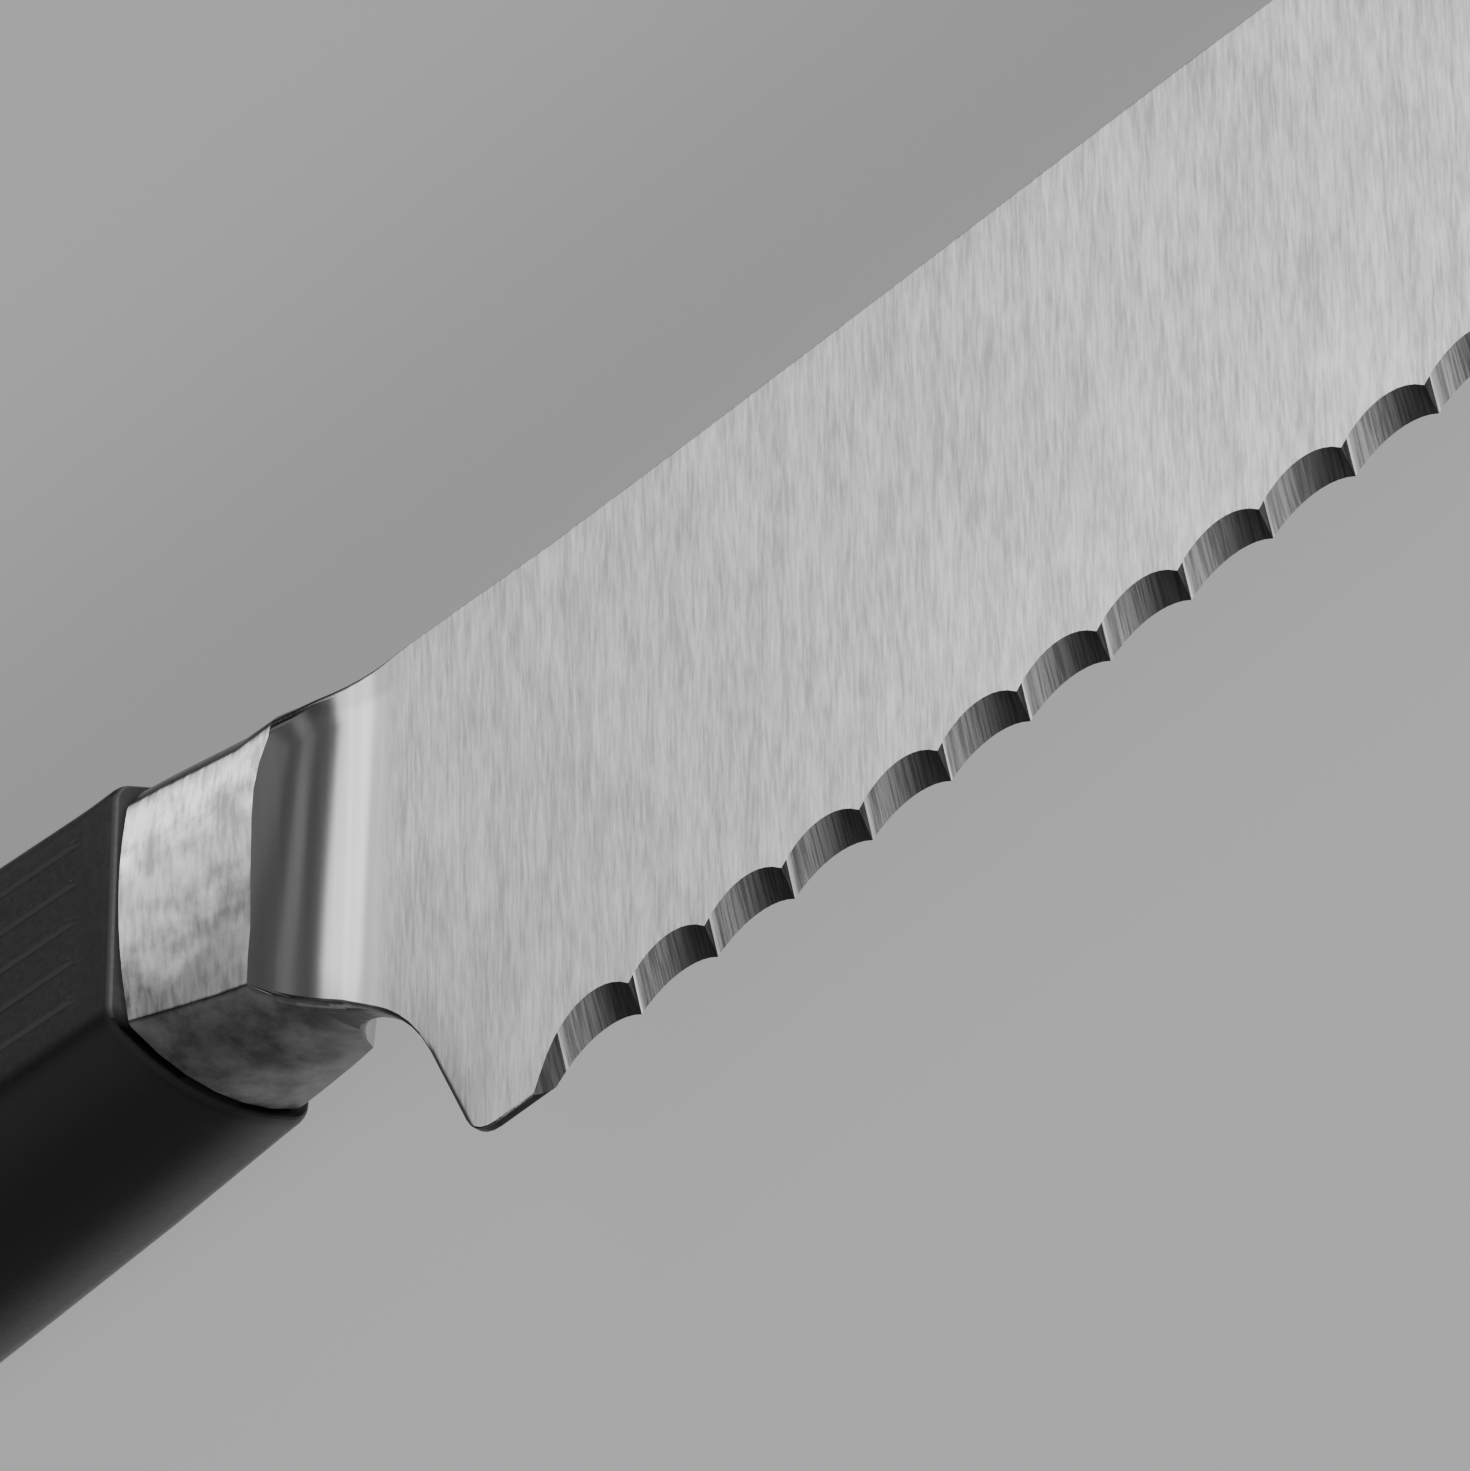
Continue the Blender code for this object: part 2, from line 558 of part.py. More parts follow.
def add_core(plastic):
    """First shot of the grip: fills round the tang and locks through its holes."""
    core = add_loft("handle_core", core_rings(0.0), plastic)
    cut(core, tang_room("core_tang_room", plastic))
    for i, distance in enumerate(TANG_HOLES):
        plug = add_pin(f"tang_plug_{i + 1}", REAR_X - distance, TANG_HOLE_RADIUS - FIT_GAP,
                       TANG_THICKNESS, plastic)
        plug.hide_render = True
        plug.display_type = "WIRE"
        joined = core.modifiers.new(plug.name, "BOOLEAN")
        joined.operation = "UNION"
        joined.object = plug
    return core


def add_grip(plastic):
    """Outer shell of the handle, moulded in one piece over the core."""
    grip = add_loft("handle_shell", grip_rings(), plastic)
    cut(grip, add_loft("core_room", core_rings(FIT_GAP), plastic))
    cut(grip, tang_room("rim_tang_room", plastic))
    return grip


def main():
    clear_scene()
    steel = make_material("forged_steel", (0.55, 0.55, 0.54), 0.32, 1.0)
    core_plastic = make_material("core_plastic", (0.05, 0.05, 0.05), 0.6, 0.0)
    grip_plastic = make_material("grip_plastic", (0.018, 0.018, 0.018), 0.42, 0.0)
    pieces = [add_forging(steel), add_core(core_plastic), add_grip(grip_plastic)]

    # The knife is moved so that the middle of its footprint on the table is the origin
    outline = [point for ring in forging_rings() + grip_rings() for point in ring]
    lows = [min(point[axis] for point in outline) for axis in range(3)]
    highs = [max(point[axis] for point in outline) for axis in range(3)]
    knife = bpy.data.objects.new("knife", None)
    bpy.context.scene.collection.objects.link(knife)
    knife.location = (-(lows[0] + highs[0]) / 2, -(lows[1] + highs[1]) / 2, -lows[2])
    for item in list(bpy.context.scene.objects):
        if item is not knife:
            item.parent = knife


main()
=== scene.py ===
# %% [markdown]
# # A tomato knife on its CAD frame
# The knife has three pieces: a forged blade with its bolster and tang, a core that is moulded
# round the tang, and an outer shell of black plastic. The CAD model holds their shapes. This lesson
# loads them, makes smooth copies of the two that are seen, gives each surface the finish that it
# has on a real knife, and lights the whole as in a studio.

# %% Load the frame
import math

import bmesh
import bpy
from mathutils import Matrix, Vector


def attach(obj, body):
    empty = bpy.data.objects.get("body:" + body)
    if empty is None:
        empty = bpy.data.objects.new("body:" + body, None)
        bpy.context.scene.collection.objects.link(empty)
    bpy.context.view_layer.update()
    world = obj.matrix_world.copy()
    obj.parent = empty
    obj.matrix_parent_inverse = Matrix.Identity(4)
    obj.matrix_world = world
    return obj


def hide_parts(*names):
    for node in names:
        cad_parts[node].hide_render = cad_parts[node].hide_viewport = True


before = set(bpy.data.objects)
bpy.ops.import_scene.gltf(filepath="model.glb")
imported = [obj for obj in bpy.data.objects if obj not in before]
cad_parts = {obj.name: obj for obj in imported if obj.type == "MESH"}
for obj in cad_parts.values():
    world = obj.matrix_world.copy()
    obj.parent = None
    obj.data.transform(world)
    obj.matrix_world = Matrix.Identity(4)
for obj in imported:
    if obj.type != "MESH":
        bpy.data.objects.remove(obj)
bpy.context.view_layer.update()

bpy.ops.object.select_all(action="DESELECT")
print("CAD nodes:", sorted(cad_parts))

# %% [markdown]
# ## The camera
# The photograph was taken from far off with a long lens, so lines that are parallel on the knife
# stay parallel in the picture. The camera is turned towards the knife's point and looks a little
# from below, from the side of the cutting edge. Three directions in the knife's own frame say this
# more simply than three angles do: to the right, up, and back towards the camera.

# %% Place the camera
MM = 0.001
VIEW_TURN = math.radians(49.9)
VIEW_DIP = math.radians(37.8)
VIEW_DISTANCE = 577.7 * MM
VIEW_TARGET = Vector((-4.06, 11.49, -5.46)) * MM
VIEW_LENS = 354.9
NEAREST_SEEN = 10 * MM

to_right = Vector((math.cos(VIEW_TURN), 0, -math.sin(VIEW_TURN)))
to_camera = Vector((
    math.cos(VIEW_DIP) * math.sin(VIEW_TURN),
    -math.sin(VIEW_DIP),
    math.cos(VIEW_DIP) * math.cos(VIEW_TURN),
))
to_top = to_camera.cross(to_right)
looking = Matrix((to_right, to_top, to_camera)).transposed()
bpy.ops.object.camera_add(
    location=VIEW_TARGET + VIEW_DISTANCE * to_camera, rotation=looking.to_euler()
)
camera = bpy.context.object
camera.name = "camera"
camera.data.lens = VIEW_LENS
camera.data.clip_start = NEAREST_SEEN
bpy.context.scene.camera = camera
print("camera stands at", [round(v / MM) for v in camera.location], "mm")

# %% [markdown]
# ## Colours and nodes
# A colour is easiest to read off a picture as a hex code, which is sRGB. Blender's shaders want
# linear light, so one function turns the one into the other. A second function adds a node, sets
# what it is given and joins what it is given, which keeps each material down to a short list.

# %% Two helpers for materials
def linear(code):
    """A hex colour such as "#A5A5A5" as linear red, green, blue and alpha."""
    parts = [int(code[i : i + 2], 16) / 255 for i in (1, 3, 5)]
    return [p / 12.92 if p <= 0.04045 else ((p + 0.055) / 1.055) ** 2.4 for p in parts] + [1]


def add_node(tree, kind, inputs=(), **settings):
    """Adds a node. Inputs are plain values, or outputs of other nodes."""
    made = tree.nodes.new("ShaderNode" + kind)
    for name, value in settings.items():
        setattr(made, name, value)
    for name, value in dict(inputs).items():
        if isinstance(value, bpy.types.NodeSocket):
            tree.links.new(value, made.inputs[name])
        else:
            made.inputs[name].default_value = value
    return made


print("mid grey is", round(linear("#808080")[0], 3), "in linear light")

# %% [markdown]
# ## The floor
# The backdrop of the photograph is a plain sheet of grey card. The knife lies on it on its handle,
# and the blade hangs more than 5 mm above. Most of what the camera sees of the card is its own even
# tone, and the rest is lit, so the knife keeps a soft shadow without a dark pool under its edge.
# Behind the spine the card is painted a little darker, a painted shadow where the light from the
# edge's side falls off. It lies along a soft band that fades out towards the ends of the knife.

# %% A painted shadow on the card
SMOOTH = "SMOOTHSTEP"
BAND_FROM = -2 * MM
BAND_MIDDLE = 26 * MM
BAND_TO = 62 * MM
BAND_LEFT_PAST_IT = 0.35
BAND_REACH = 65 * MM
BAND_GONE = 2.5 * BAND_REACH

card_paper = bpy.data.materials.new("grey_card_paper")
card_paper.use_nodes = True
tree = card_paper.node_tree
tree.nodes.clear()
split = add_node(tree, "SeparateXYZ", {0: add_node(tree, "TexCoord").outputs["Object"]})
rising = add_node(
    tree,
    "MapRange",
    {0: split.outputs["Y"], 1: BAND_FROM, 2: BAND_MIDDLE},
    interpolation_type=SMOOTH,
)
falling = add_node(
    tree,
    "MapRange",
    {0: split.outputs["Y"], 1: BAND_TO, 2: BAND_MIDDLE, 3: BAND_LEFT_PAST_IT, 4: 1.0},
    interpolation_type=SMOOTH,
)
across = add_node(
    tree, "Math", {0: rising.outputs[0], 1: falling.outputs[0]}, operation="MULTIPLY"
)
beside = add_node(tree, "Math", {0: split.outputs["X"]}, operation="ABSOLUTE")
ending = add_node(
    tree,
    "MapRange",
    {0: beside.outputs[0], 1: BAND_REACH, 2: BAND_GONE, 3: 1.0, 4: 0.0},
    interpolation_type=SMOOTH,
)
band = add_node(tree, "Math", {0: across.outputs[0], 1: ending.outputs[0]}, operation="MULTIPLY")
print("the band is darkest", round(BAND_MIDDLE / MM), "mm behind the knife's middle")

# %% Lay the grey card
CARD_LIGHT = "#B9B9B9"
CARD_SHADOW_TONE = "#9F9F9F"
CARD_EVEN_SHARE = 0.86
CARD_SIZE = 8.0
CARD_DROP = 0.2 * MM

# Along the band the card is painted towards the darker tone: a painted shadow.
paper = add_node(
    tree,
    "Mix",
    {0: band.outputs[0], 6: linear(CARD_LIGHT), 7: linear(CARD_SHADOW_TONE)},
    data_type="RGBA",
)
lit = add_node(tree, "BsdfDiffuse", {"Color": paper.outputs[2]})
even = add_node(tree, "Emission", {"Color": paper.outputs[2], "Strength": 1.0})
path = add_node(tree, "LightPath")
seen = add_node(
    tree,
    "Math",
    {0: path.outputs["Is Camera Ray"], 1: path.outputs["Is Glossy Ray"]},
    operation="MAXIMUM",
)
share = add_node(tree, "Math", {0: seen.outputs[0], 1: CARD_EVEN_SHARE}, operation="MULTIPLY")
mixed = add_node(
    tree, "MixShader", {0: share.outputs[0], 1: lit.outputs[0], 2: even.outputs[0]}
)
add_node(tree, "OutputMaterial", {"Surface": mixed.outputs[0]})
bpy.ops.mesh.primitive_plane_add(size=CARD_SIZE, location=(0, 0, -CARD_DROP))
card = bpy.context.object
card.name = "grey_card"
card.data.materials.append(card_paper)
print("card laid, light tone", round(linear(CARD_LIGHT)[0], 3))

# %% [markdown]
# ## The light
# Steel shows what stands around it, so the light is planned backwards from the picture. The blade's
# face mirrors a place above and behind its spine, so one large soft panel hangs there. The hollow
# in front of the bolster turns away from it bit by bit. First it mirrors a brighter strip near the
# panel's end, which is its bright band. Past that it is dark, but for two grey bands: a dim strip
# and a dim panel on the side of the point. A panel overhead gives the ground scallops a little
# light. The room is light on the side of the edge and dim behind the spine.

# %% Hang the panels
LIT_POINT = Vector((10, 0, 7)) * MM
PANELS = (
    # name, direction, distance, width along the knife, height, radiance
    ("panel_behind_spine", (-0.387, 0.674, 0.629), 0.7, 0.68, 0.45, 1.15),
    ("panel_strip", (-0.213, 0.63, 0.75), 0.69, 0.342, 0.45, 1.3),
    ("panel_dim_strip", (0.47, 0.60, 0.65), 0.7, 0.13, 0.4, 0.165),
    ("panel_point_end", (0.832, 0.46, 0.310), 0.7, 0.26, 0.4, 0.11),
    ("panel_overhead", (-0.05, 0.05, 1.0), 0.8, 0.5, 0.3, 0.7),
)


def hang_panel(name, direction, distance, width, height, radiance):
    """Hangs a soft panel that faces the knife and that the camera doesn't see."""
    away = Vector(direction).normalized()
    across = (Vector((1, 0, 0)) - away * away.x).normalized()
    turned = Matrix((across, away.cross(across), away)).transposed()
    bpy.ops.object.light_add(
        type="AREA", location=LIT_POINT + distance * away, rotation=turned.to_euler()
    )
    panel = bpy.context.object
    panel.name = name
    panel.data.shape = "RECTANGLE"
    panel.data.size, panel.data.size_y = width, height
    panel.data.energy = radiance * math.pi * width * height
    panel.visible_camera = False
    print(name, "gives", round(panel.data.energy, 2), "W")


for facts in PANELS:
    hang_panel(*facts)

# %% Light the room
ROOM_DIM = 0.10
ROOM_BRIGHT = 1.5
DIM_FROM = 0.15
BRIGHT_FROM = -0.4

room = bpy.data.worlds.new("studio_room")
bpy.context.scene.world = room
room.use_nodes = True
tree = room.node_tree
tree.nodes.clear()
toward = add_node(tree, "TexCoord")
split = add_node(tree, "SeparateXYZ", {0: toward.outputs["Generated"]})
front = add_node(
    tree,
    "MapRange",
    {0: split.outputs["Y"], 1: DIM_FROM, 2: BRIGHT_FROM, 3: ROOM_DIM, 4: ROOM_BRIGHT},
    interpolation_type=SMOOTH,
)
path = add_node(tree, "LightPath")
around = add_node(tree, "Background", {"Strength": front.outputs[0]})
around.inputs["Color"].default_value = (1, 1, 1, 1)
backdrop = add_node(tree, "Background", {"Color": linear(CARD_LIGHT), "Strength": 1.0})
mixed = add_node(
    tree,
    "MixShader",
    {0: path.outputs["Is Camera Ray"], 1: around.outputs[0], 2: backdrop.outputs[0]},
)
add_node(tree, "OutputWorld", {"Surface": mixed.outputs[0]})
print("the room gives", ROOM_DIM, "behind the spine and", ROOM_BRIGHT, "on the edge's side")

# %% [markdown]
# ## Smooth copies of the CAD pieces
# The frame's meshes are loose triangles, so each facet would show. A copy with its corners joined
# takes smooth shading, and an edge where two faces meet at more than a small angle stays sharp: the
# arcs of the scallops, the bolster's corner and the grip's rim.

# %% A helper that joins a copy's triangles
SAME_CORNER = 0.001 * MM


def joined_copy(node, name, sharp_angle):
    """A copy of a CAD node with its corners joined, smooth but for edges past the angle."""
    piece = bpy.data.objects.new(name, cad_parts[node].data.copy())
    bpy.context.scene.collection.objects.link(piece)
    bpy.ops.object.select_all(action="DESELECT")
    bpy.context.view_layer.objects.active = piece
    piece.select_set(True)
    bpy.ops.mesh.customdata_custom_splitnormals_clear()
    bpy.ops.object.mode_set(mode="EDIT")
    bpy.ops.mesh.select_all(action="SELECT")
    bpy.ops.mesh.remove_doubles(threshold=SAME_CORNER)
    bpy.ops.object.mode_set(mode="OBJECT")
    bpy.ops.object.shade_smooth_by_angle(angle=sharp_angle, keep_sharp_edges=False)
    piece.data.materials.clear()
    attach(piece, "root")
    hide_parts(node)
    print(name, "has", len(piece.data.vertices), "corners and", len(piece.data.polygons), "faces")
    return piece


# %% A helper that keeps only the true edges sharp
SCALLOPS_START = -3 * MM
SCALLOP_LOOKS_UP = 0.8
SCALLOP_LOOKS_OUT = -0.12


def wheel_ground(at, way):
    """Whether a face with this centre and normal is one of the ground scallops."""
    return way.z > SCALLOP_LOOKS_UP and way.y < SCALLOP_LOOKS_OUT and at.x > SCALLOPS_START


def soften(piece, largest_bend):
    """Makes edges that bend less smooth again, but for those round the ground scallops."""
    mesh = bmesh.new()
    mesh.from_mesh(piece.data)
    softened = 0
    for edge in mesh.edges:
        scalloped = any(wheel_ground(f.calc_center_median(), f.normal) for f in edge.link_faces)
        if not edge.smooth and not scalloped and edge.calc_face_angle(math.pi) < largest_bend:
            edge.smooth = True
            softened += 1
    mesh.to_mesh(piece.data)
    mesh.free()
    print(softened, "edges of", piece.name, "are smooth again")


# %% Make the two copies
BLADE_SHARP = 0.19
BLADE_LARGEST_BEND = 0.5
GRIP_SHARP = 0.30

blade = joined_copy("blade", "forged_blade", BLADE_SHARP)
soften(blade, BLADE_LARGEST_BEND)
grip = joined_copy("handle_shell", "grip", GRIP_SHARP)

# %% [markdown]
# ## Satin steel, brushed across the blade
# The forging is stainless steel, ground and then brushed on a wide belt, from spine to edge. Each
# grain of the belt leaves a groove a few millimetres long. The eye sees fine light and dark
# streaks, all one way, over a soft reflection. Real grooves are finer than a tenth of a millimetre,
# and here they are drawn as coarse as they need to be to show.

# %% Streaks that the belt leaves
GROOVE_WIDTH = 0.17 * MM
GROOVE_LENGTH = 1.7 * MM
STREAK_WIDTH = 0.8 * MM
STREAK_LENGTH = 5 * MM
STREAK_SHARE = 0.3
DARKEST_STREAK = 0.36
LIGHTEST_STREAK = 0.64

brushed = bpy.data.materials.new("stainless_steel_belt_brushed")
brushed.use_nodes = True
tree = brushed.node_tree
steel = tree.nodes["Principled BSDF"]
where = add_node(tree, "TexCoord").outputs["Object"]
groove_place = add_node(
    tree,
    "Mapping",
    {0: where, "Scale": (1 / GROOVE_WIDTH, 1 / GROOVE_LENGTH, 1 / GROOVE_LENGTH)},
)
grooves = add_node(
    tree,
    "TexNoise",
    {"Vector": groove_place.outputs[0], "Scale": 1.0, "Detail": 3.0, "Roughness": 0.6},
)
streak_place = add_node(
    tree,
    "Mapping",
    {0: where, "Scale": (1 / STREAK_WIDTH, 1 / STREAK_LENGTH, 1 / STREAK_LENGTH)},
)
streaks = add_node(
    tree, "TexNoise", {"Vector": streak_place.outputs[0], "Scale": 1.0, "Detail": 1.0}
)
both = add_node(
    tree,
    "Mix",
    {0: STREAK_SHARE, 2: grooves.outputs[0], 3: streaks.outputs[0]},
    data_type="FLOAT",
)
tone = add_node(tree, "MapRange", {0: both.outputs[0], 1: DARKEST_STREAK, 2: LIGHTEST_STREAK})
print("a groove is", round(GROOVE_WIDTH / MM, 2), "by", round(GROOVE_LENGTH / MM, 2), "mm")

# %% [markdown]
# ## The hollow in front of the bolster
# The hollow is too tight for the belt. It is dressed on a small polished roller, which leaves calm
# lines along the hollow, so it mirrors the room in clearer bands. A noise texture's values lie
# mostly between 0.3 and 0.7, so that range is mapped to a finish's darkest and lightest.

# %% Lines that the roller leaves
NOISE_LOW = 0.3
NOISE_HIGH = 0.7
HOLLOW_END = -10.3 * MM
HOLLOW_BLUR = 1.2 * MM
HOLLOW_LEAN = 0.055
ROLLER_MARK = 0.5 * MM
ROLLED_DARK = 0.48
ROLLED_LIGHT = 0.76
STEEL_LIGHT = "#E6E6E6"
STEEL_DARK = "#AAAAAA"

split = add_node(tree, "SeparateXYZ", {0: where})
leaning = add_node(
    tree,
    "Math",
    {0: split.outputs["Y"], 1: -HOLLOW_LEAN, 2: split.outputs["X"]},
    operation="MULTIPLY_ADD",
)
face = add_node(
    tree,
    "MapRange",
    {0: leaning.outputs[0], 1: HOLLOW_END - HOLLOW_BLUR, 2: HOLLOW_END + HOLLOW_BLUR},
    interpolation_type=SMOOTH,
)
roller = add_node(
    tree,
    "TexNoise",
    {"W": leaning.outputs[0], "Scale": 1 / ROLLER_MARK, "Detail": 1.0},
    noise_dimensions="1D",
)
rolled = add_node(
    tree,
    "MapRange",
    {0: roller.outputs[0], 1: NOISE_LOW, 2: NOISE_HIGH, 3: ROLLED_DARK, 4: ROLLED_LIGHT},
)
calm = add_node(
    tree, "Mix", {0: face.outputs[0], 2: rolled.outputs[0], 3: tone.outputs[0]}, data_type="FLOAT"
)
tint = add_node(
    tree,
    "Mix",
    {0: calm.outputs[0], 6: linear(STEEL_DARK), 7: linear(STEEL_LIGHT)},
    data_type="RGBA",
)
print("the hollow ends", round(-HOLLOW_END / MM, 1), "mm behind the middle")

# %% [markdown]
# ## Painted light on the face
# The face is painted lighter in front of the heel and a little darker towards the bolster: painted
# light and shade. Both show most near the edge.

# %% Painted light towards the edge
HEEL_SIDE = -8 * MM
POINT_SIDE = 30 * MM
LIGHT_AT_HEEL = -0.75
LIGHT_AT_POINT = 1.0
UPPER_LINE = 2 * MM
LOWER_LINE = -7 * MM
LIGHT_ABOVE = 0.06
LIGHT_BELOW = 0.21
LIGHT_MEAN = 0.92

forward = add_node(
    tree,
    "MapRange",
    {0: split.outputs["X"], 1: HEEL_SIDE, 2: POINT_SIDE, 3: LIGHT_AT_HEEL, 4: LIGHT_AT_POINT},
)
painted_edge_light = add_node(
    tree,
    "MapRange",
    {0: split.outputs["Y"], 1: UPPER_LINE, 2: LOWER_LINE, 3: LIGHT_ABOVE, 4: LIGHT_BELOW},
)
# This factor is painted light: lighter towards the point and the edge, darker towards the bolster.
painted_light_tone = add_node(
    tree,
    "Math",
    {0: forward.outputs[0], 1: painted_edge_light.outputs[0], 2: LIGHT_MEAN},
    operation="MULTIPLY_ADD",
)
tinted = add_node(
    tree,
    "Mix",
    {0: 1.0, 6: tint.outputs[2], 7: painted_light_tone.outputs[0]},
    data_type="RGBA",
    blend_type="MULTIPLY",
)
print("wear changes the tone by up to", LIGHT_BELOW, "at the edge")

# %% [markdown]
# ## The hollow's top and the choil's edge
# Two narrow places are painted darker than the rest of the brushed steel, as painted shade: the
# hollow's rounded top where it turns up to the spine, and a thin line beside the choil's edge.

# %% Painted shade on the hollow's top
TOP_LOOKS_FROM = 0.02
TOP_LOOKS_TO = 0.11
TOP_SHARE = 0.85
TOP_FROM = 10.4 * MM
TOP_TO = 11.1 * MM
TOP_LEAST_SHARE = 0.28

facing = add_node(tree, "SeparateXYZ", {0: add_node(tree, "TexCoord").outputs["Normal"]})
upward = add_node(
    tree,
    "MapRange",
    {0: facing.outputs["Y"], 1: TOP_LOOKS_FROM, 2: TOP_LOOKS_TO, 3: 0.0, 4: TOP_SHARE},
    interpolation_type=SMOOTH,
)
near_top = add_node(
    tree,
    "MapRange",
    {0: split.outputs["Y"], 1: TOP_FROM, 2: TOP_TO, 3: 0.0, 4: TOP_LEAST_SHARE},
    interpolation_type=SMOOTH,
)
rounded = add_node(
    tree, "Math", {0: upward.outputs[0], 1: near_top.outputs[0]}, operation="MAXIMUM"
)
behind = add_node(tree, "Math", {0: 1.0, 1: face.outputs[0]}, operation="SUBTRACT")
topped = add_node(
    tree, "Math", {0: rounded.outputs[0], 1: behind.outputs[0]}, operation="MULTIPLY"
)
# The hollow's top is painted dark grey: painted shade.
painted_top_shade = add_node(
    tree,
    "Mix",
    {0: topped.outputs[0], 6: tinted.outputs[2], 7: linear("#3C3C3C")},
    data_type="RGBA",
)
print("the hollow's top darkens over", round((TOP_TO - TOP_FROM) / MM, 1), "mm")

# %% Painted shade along the choil
CHOIL_INWARD = (0.9012, 0.4334, 0.0)
CHOIL_EDGE = -10.403 * MM
LINE_FULL = 0.14 * MM
LINE_GONE = 0.26 * MM
CHOIL_TOP = -7.0 * MM
CHOIL_FADE = 1.2 * MM

inward = add_node(tree, "VectorMath", {0: where, 1: CHOIL_INWARD}, operation="DOT_PRODUCT")
edge_line = add_node(
    tree,
    "MapRange",
    {
        0: inward.outputs["Value"],
        1: CHOIL_EDGE + LINE_FULL,
        2: CHOIL_EDGE + LINE_GONE,
        3: 1.0,
        4: 0.0,
    },
)
straight = add_node(
    tree,
    "MapRange",
    {0: split.outputs["Y"], 1: CHOIL_TOP, 2: CHOIL_TOP - CHOIL_FADE},
    interpolation_type=SMOOTH,
)
# The line beside the choil's edge is painted dark grey: painted shade.
painted_edge_shade = add_node(
    tree, "Math", {0: edge_line.outputs[0], 1: straight.outputs[0]}, operation="MULTIPLY"
)
outlined = add_node(
    tree,
    "Mix",
    {0: painted_edge_shade.outputs[0], 6: painted_top_shade.outputs[2], 7: linear("#3A3A3A")},
    data_type="RGBA",
)
tree.links.new(outlined.outputs[2], steel.inputs["Base Color"])
print("the choil's dark line is", round(LINE_GONE / MM, 2), "mm wide")

# %% Gloss and grooves of the brushed steel
SATIN_SMOOTHEST = 0.28
SATIN_ROUGHEST = 0.38
HOLLOW_ROUGHNESS = 0.19
GROOVE_DEPTH = 0.003 * MM

satin = add_node(
    tree,
    "MapRange",
    {0: grooves.outputs[0], 1: NOISE_LOW, 2: NOISE_HIGH, 3: SATIN_SMOOTHEST, 4: SATIN_ROUGHEST},
)
rough = add_node(
    tree, "Mix", {0: face.outputs[0], 2: HOLLOW_ROUGHNESS, 3: satin.outputs[0]}, data_type="FLOAT"
)
tree.links.new(rough.outputs[0], steel.inputs["Roughness"])
relief = add_node(
    tree,
    "Bump",
    {"Strength": face.outputs[0], "Distance": GROOVE_DEPTH, "Height": grooves.outputs[0]},
)
tree.links.new(relief.outputs[0], steel.inputs["Normal"])
steel.inputs["Metallic"].default_value = 1.0
blade.data.materials.append(brushed)
print(brushed.name, "has", len(tree.nodes), "nodes")

# %% [markdown]
# ## The bolster's sides
# The bolster's sides are finished by hand on a softer belt. Its strokes are short, and the metal
# under them keeps faint clouds from the forging. The sides are painted lightest under their top
# edge and darker towards the underside: painted light and shade. The strokes are drawn coarser than
# real ones, so that they show.

# %% Strokes and clouds on the bolster
CLOUD_SIZE = 1.6 * MM
STROKE_WIDTH = 0.25 * MM
STROKE_LENGTH = 1.2 * MM
CLOUD_SHARE = 0.4
DARKEST_CLOUD = 0.39
LIGHTEST_CLOUD = 0.61

clouded = bpy.data.materials.new("stainless_steel_hand_brushed")
clouded.use_nodes = True
tree = clouded.node_tree
steel = tree.nodes["Principled BSDF"]
where = add_node(tree, "TexCoord").outputs["Object"]
stroke_place = add_node(
    tree,
    "Mapping",
    {0: where, "Scale": (1 / STROKE_WIDTH, 1 / STROKE_LENGTH, 1 / STROKE_LENGTH)},
)
strokes = add_node(
    tree, "TexNoise", {"Vector": stroke_place.outputs[0], "Scale": 1.0, "Detail": 3.0}
)
clouds = add_node(tree, "TexNoise", {"Vector": where, "Scale": 1 / CLOUD_SIZE, "Detail": 3.0})
both = add_node(
    tree,
    "Mix",
    {0: CLOUD_SHARE, 2: strokes.outputs[0], 3: clouds.outputs[0]},
    data_type="FLOAT",
)
tone = add_node(tree, "MapRange", {0: both.outputs[0], 1: DARKEST_CLOUD, 2: LIGHTEST_CLOUD})
print("a cloud is about", round(CLOUD_SIZE / MM, 1), "mm across")

# %% Painted light at the top and painted shade at the foot of the bolster's sides
PUFF = 1.2 * MM
GLOW_FROM = 5.9 * MM
GLOW_TO = 9.0 * MM
GLOW_BELOW = 0.56
GLOW_ABOVE = 1.2
FOOT_FROM = 0.6 * MM
FOOT_TO = 4.6 * MM
FOOT_SHADE = 0.4
FOOT_SLOPE = 0.41
FOOT_LEVEL = -18 * MM * FOOT_SLOPE

split = add_node(tree, "SeparateXYZ", {0: where})
puffs = add_node(
    tree, "MapRange", {0: clouds.outputs[0], 1: NOISE_LOW, 2: NOISE_HIGH, 3: -PUFF, 4: PUFF}
)
drift = add_node(tree, "Math", {0: split.outputs["Y"], 1: puffs.outputs[0]}, operation="ADD")
painted_glow = add_node(
    tree,
    "MapRange",
    {0: drift.outputs[0], 1: GLOW_FROM, 2: GLOW_TO, 3: GLOW_BELOW, 4: GLOW_ABOVE},
    interpolation_type=SMOOTH,
)
slanting = add_node(
    tree,
    "Math",
    {0: split.outputs["X"], 1: -FOOT_SLOPE, 2: drift.outputs[0]},
    operation="MULTIPLY_ADD",
)
levelled = add_node(tree, "Math", {0: slanting.outputs[0], 1: FOOT_LEVEL}, operation="ADD")
foot = add_node(
    tree,
    "MapRange",
    {0: levelled.outputs[0], 1: FOOT_FROM, 2: FOOT_TO, 3: FOOT_SHADE, 4: 1.0},
    interpolation_type=SMOOTH,
)
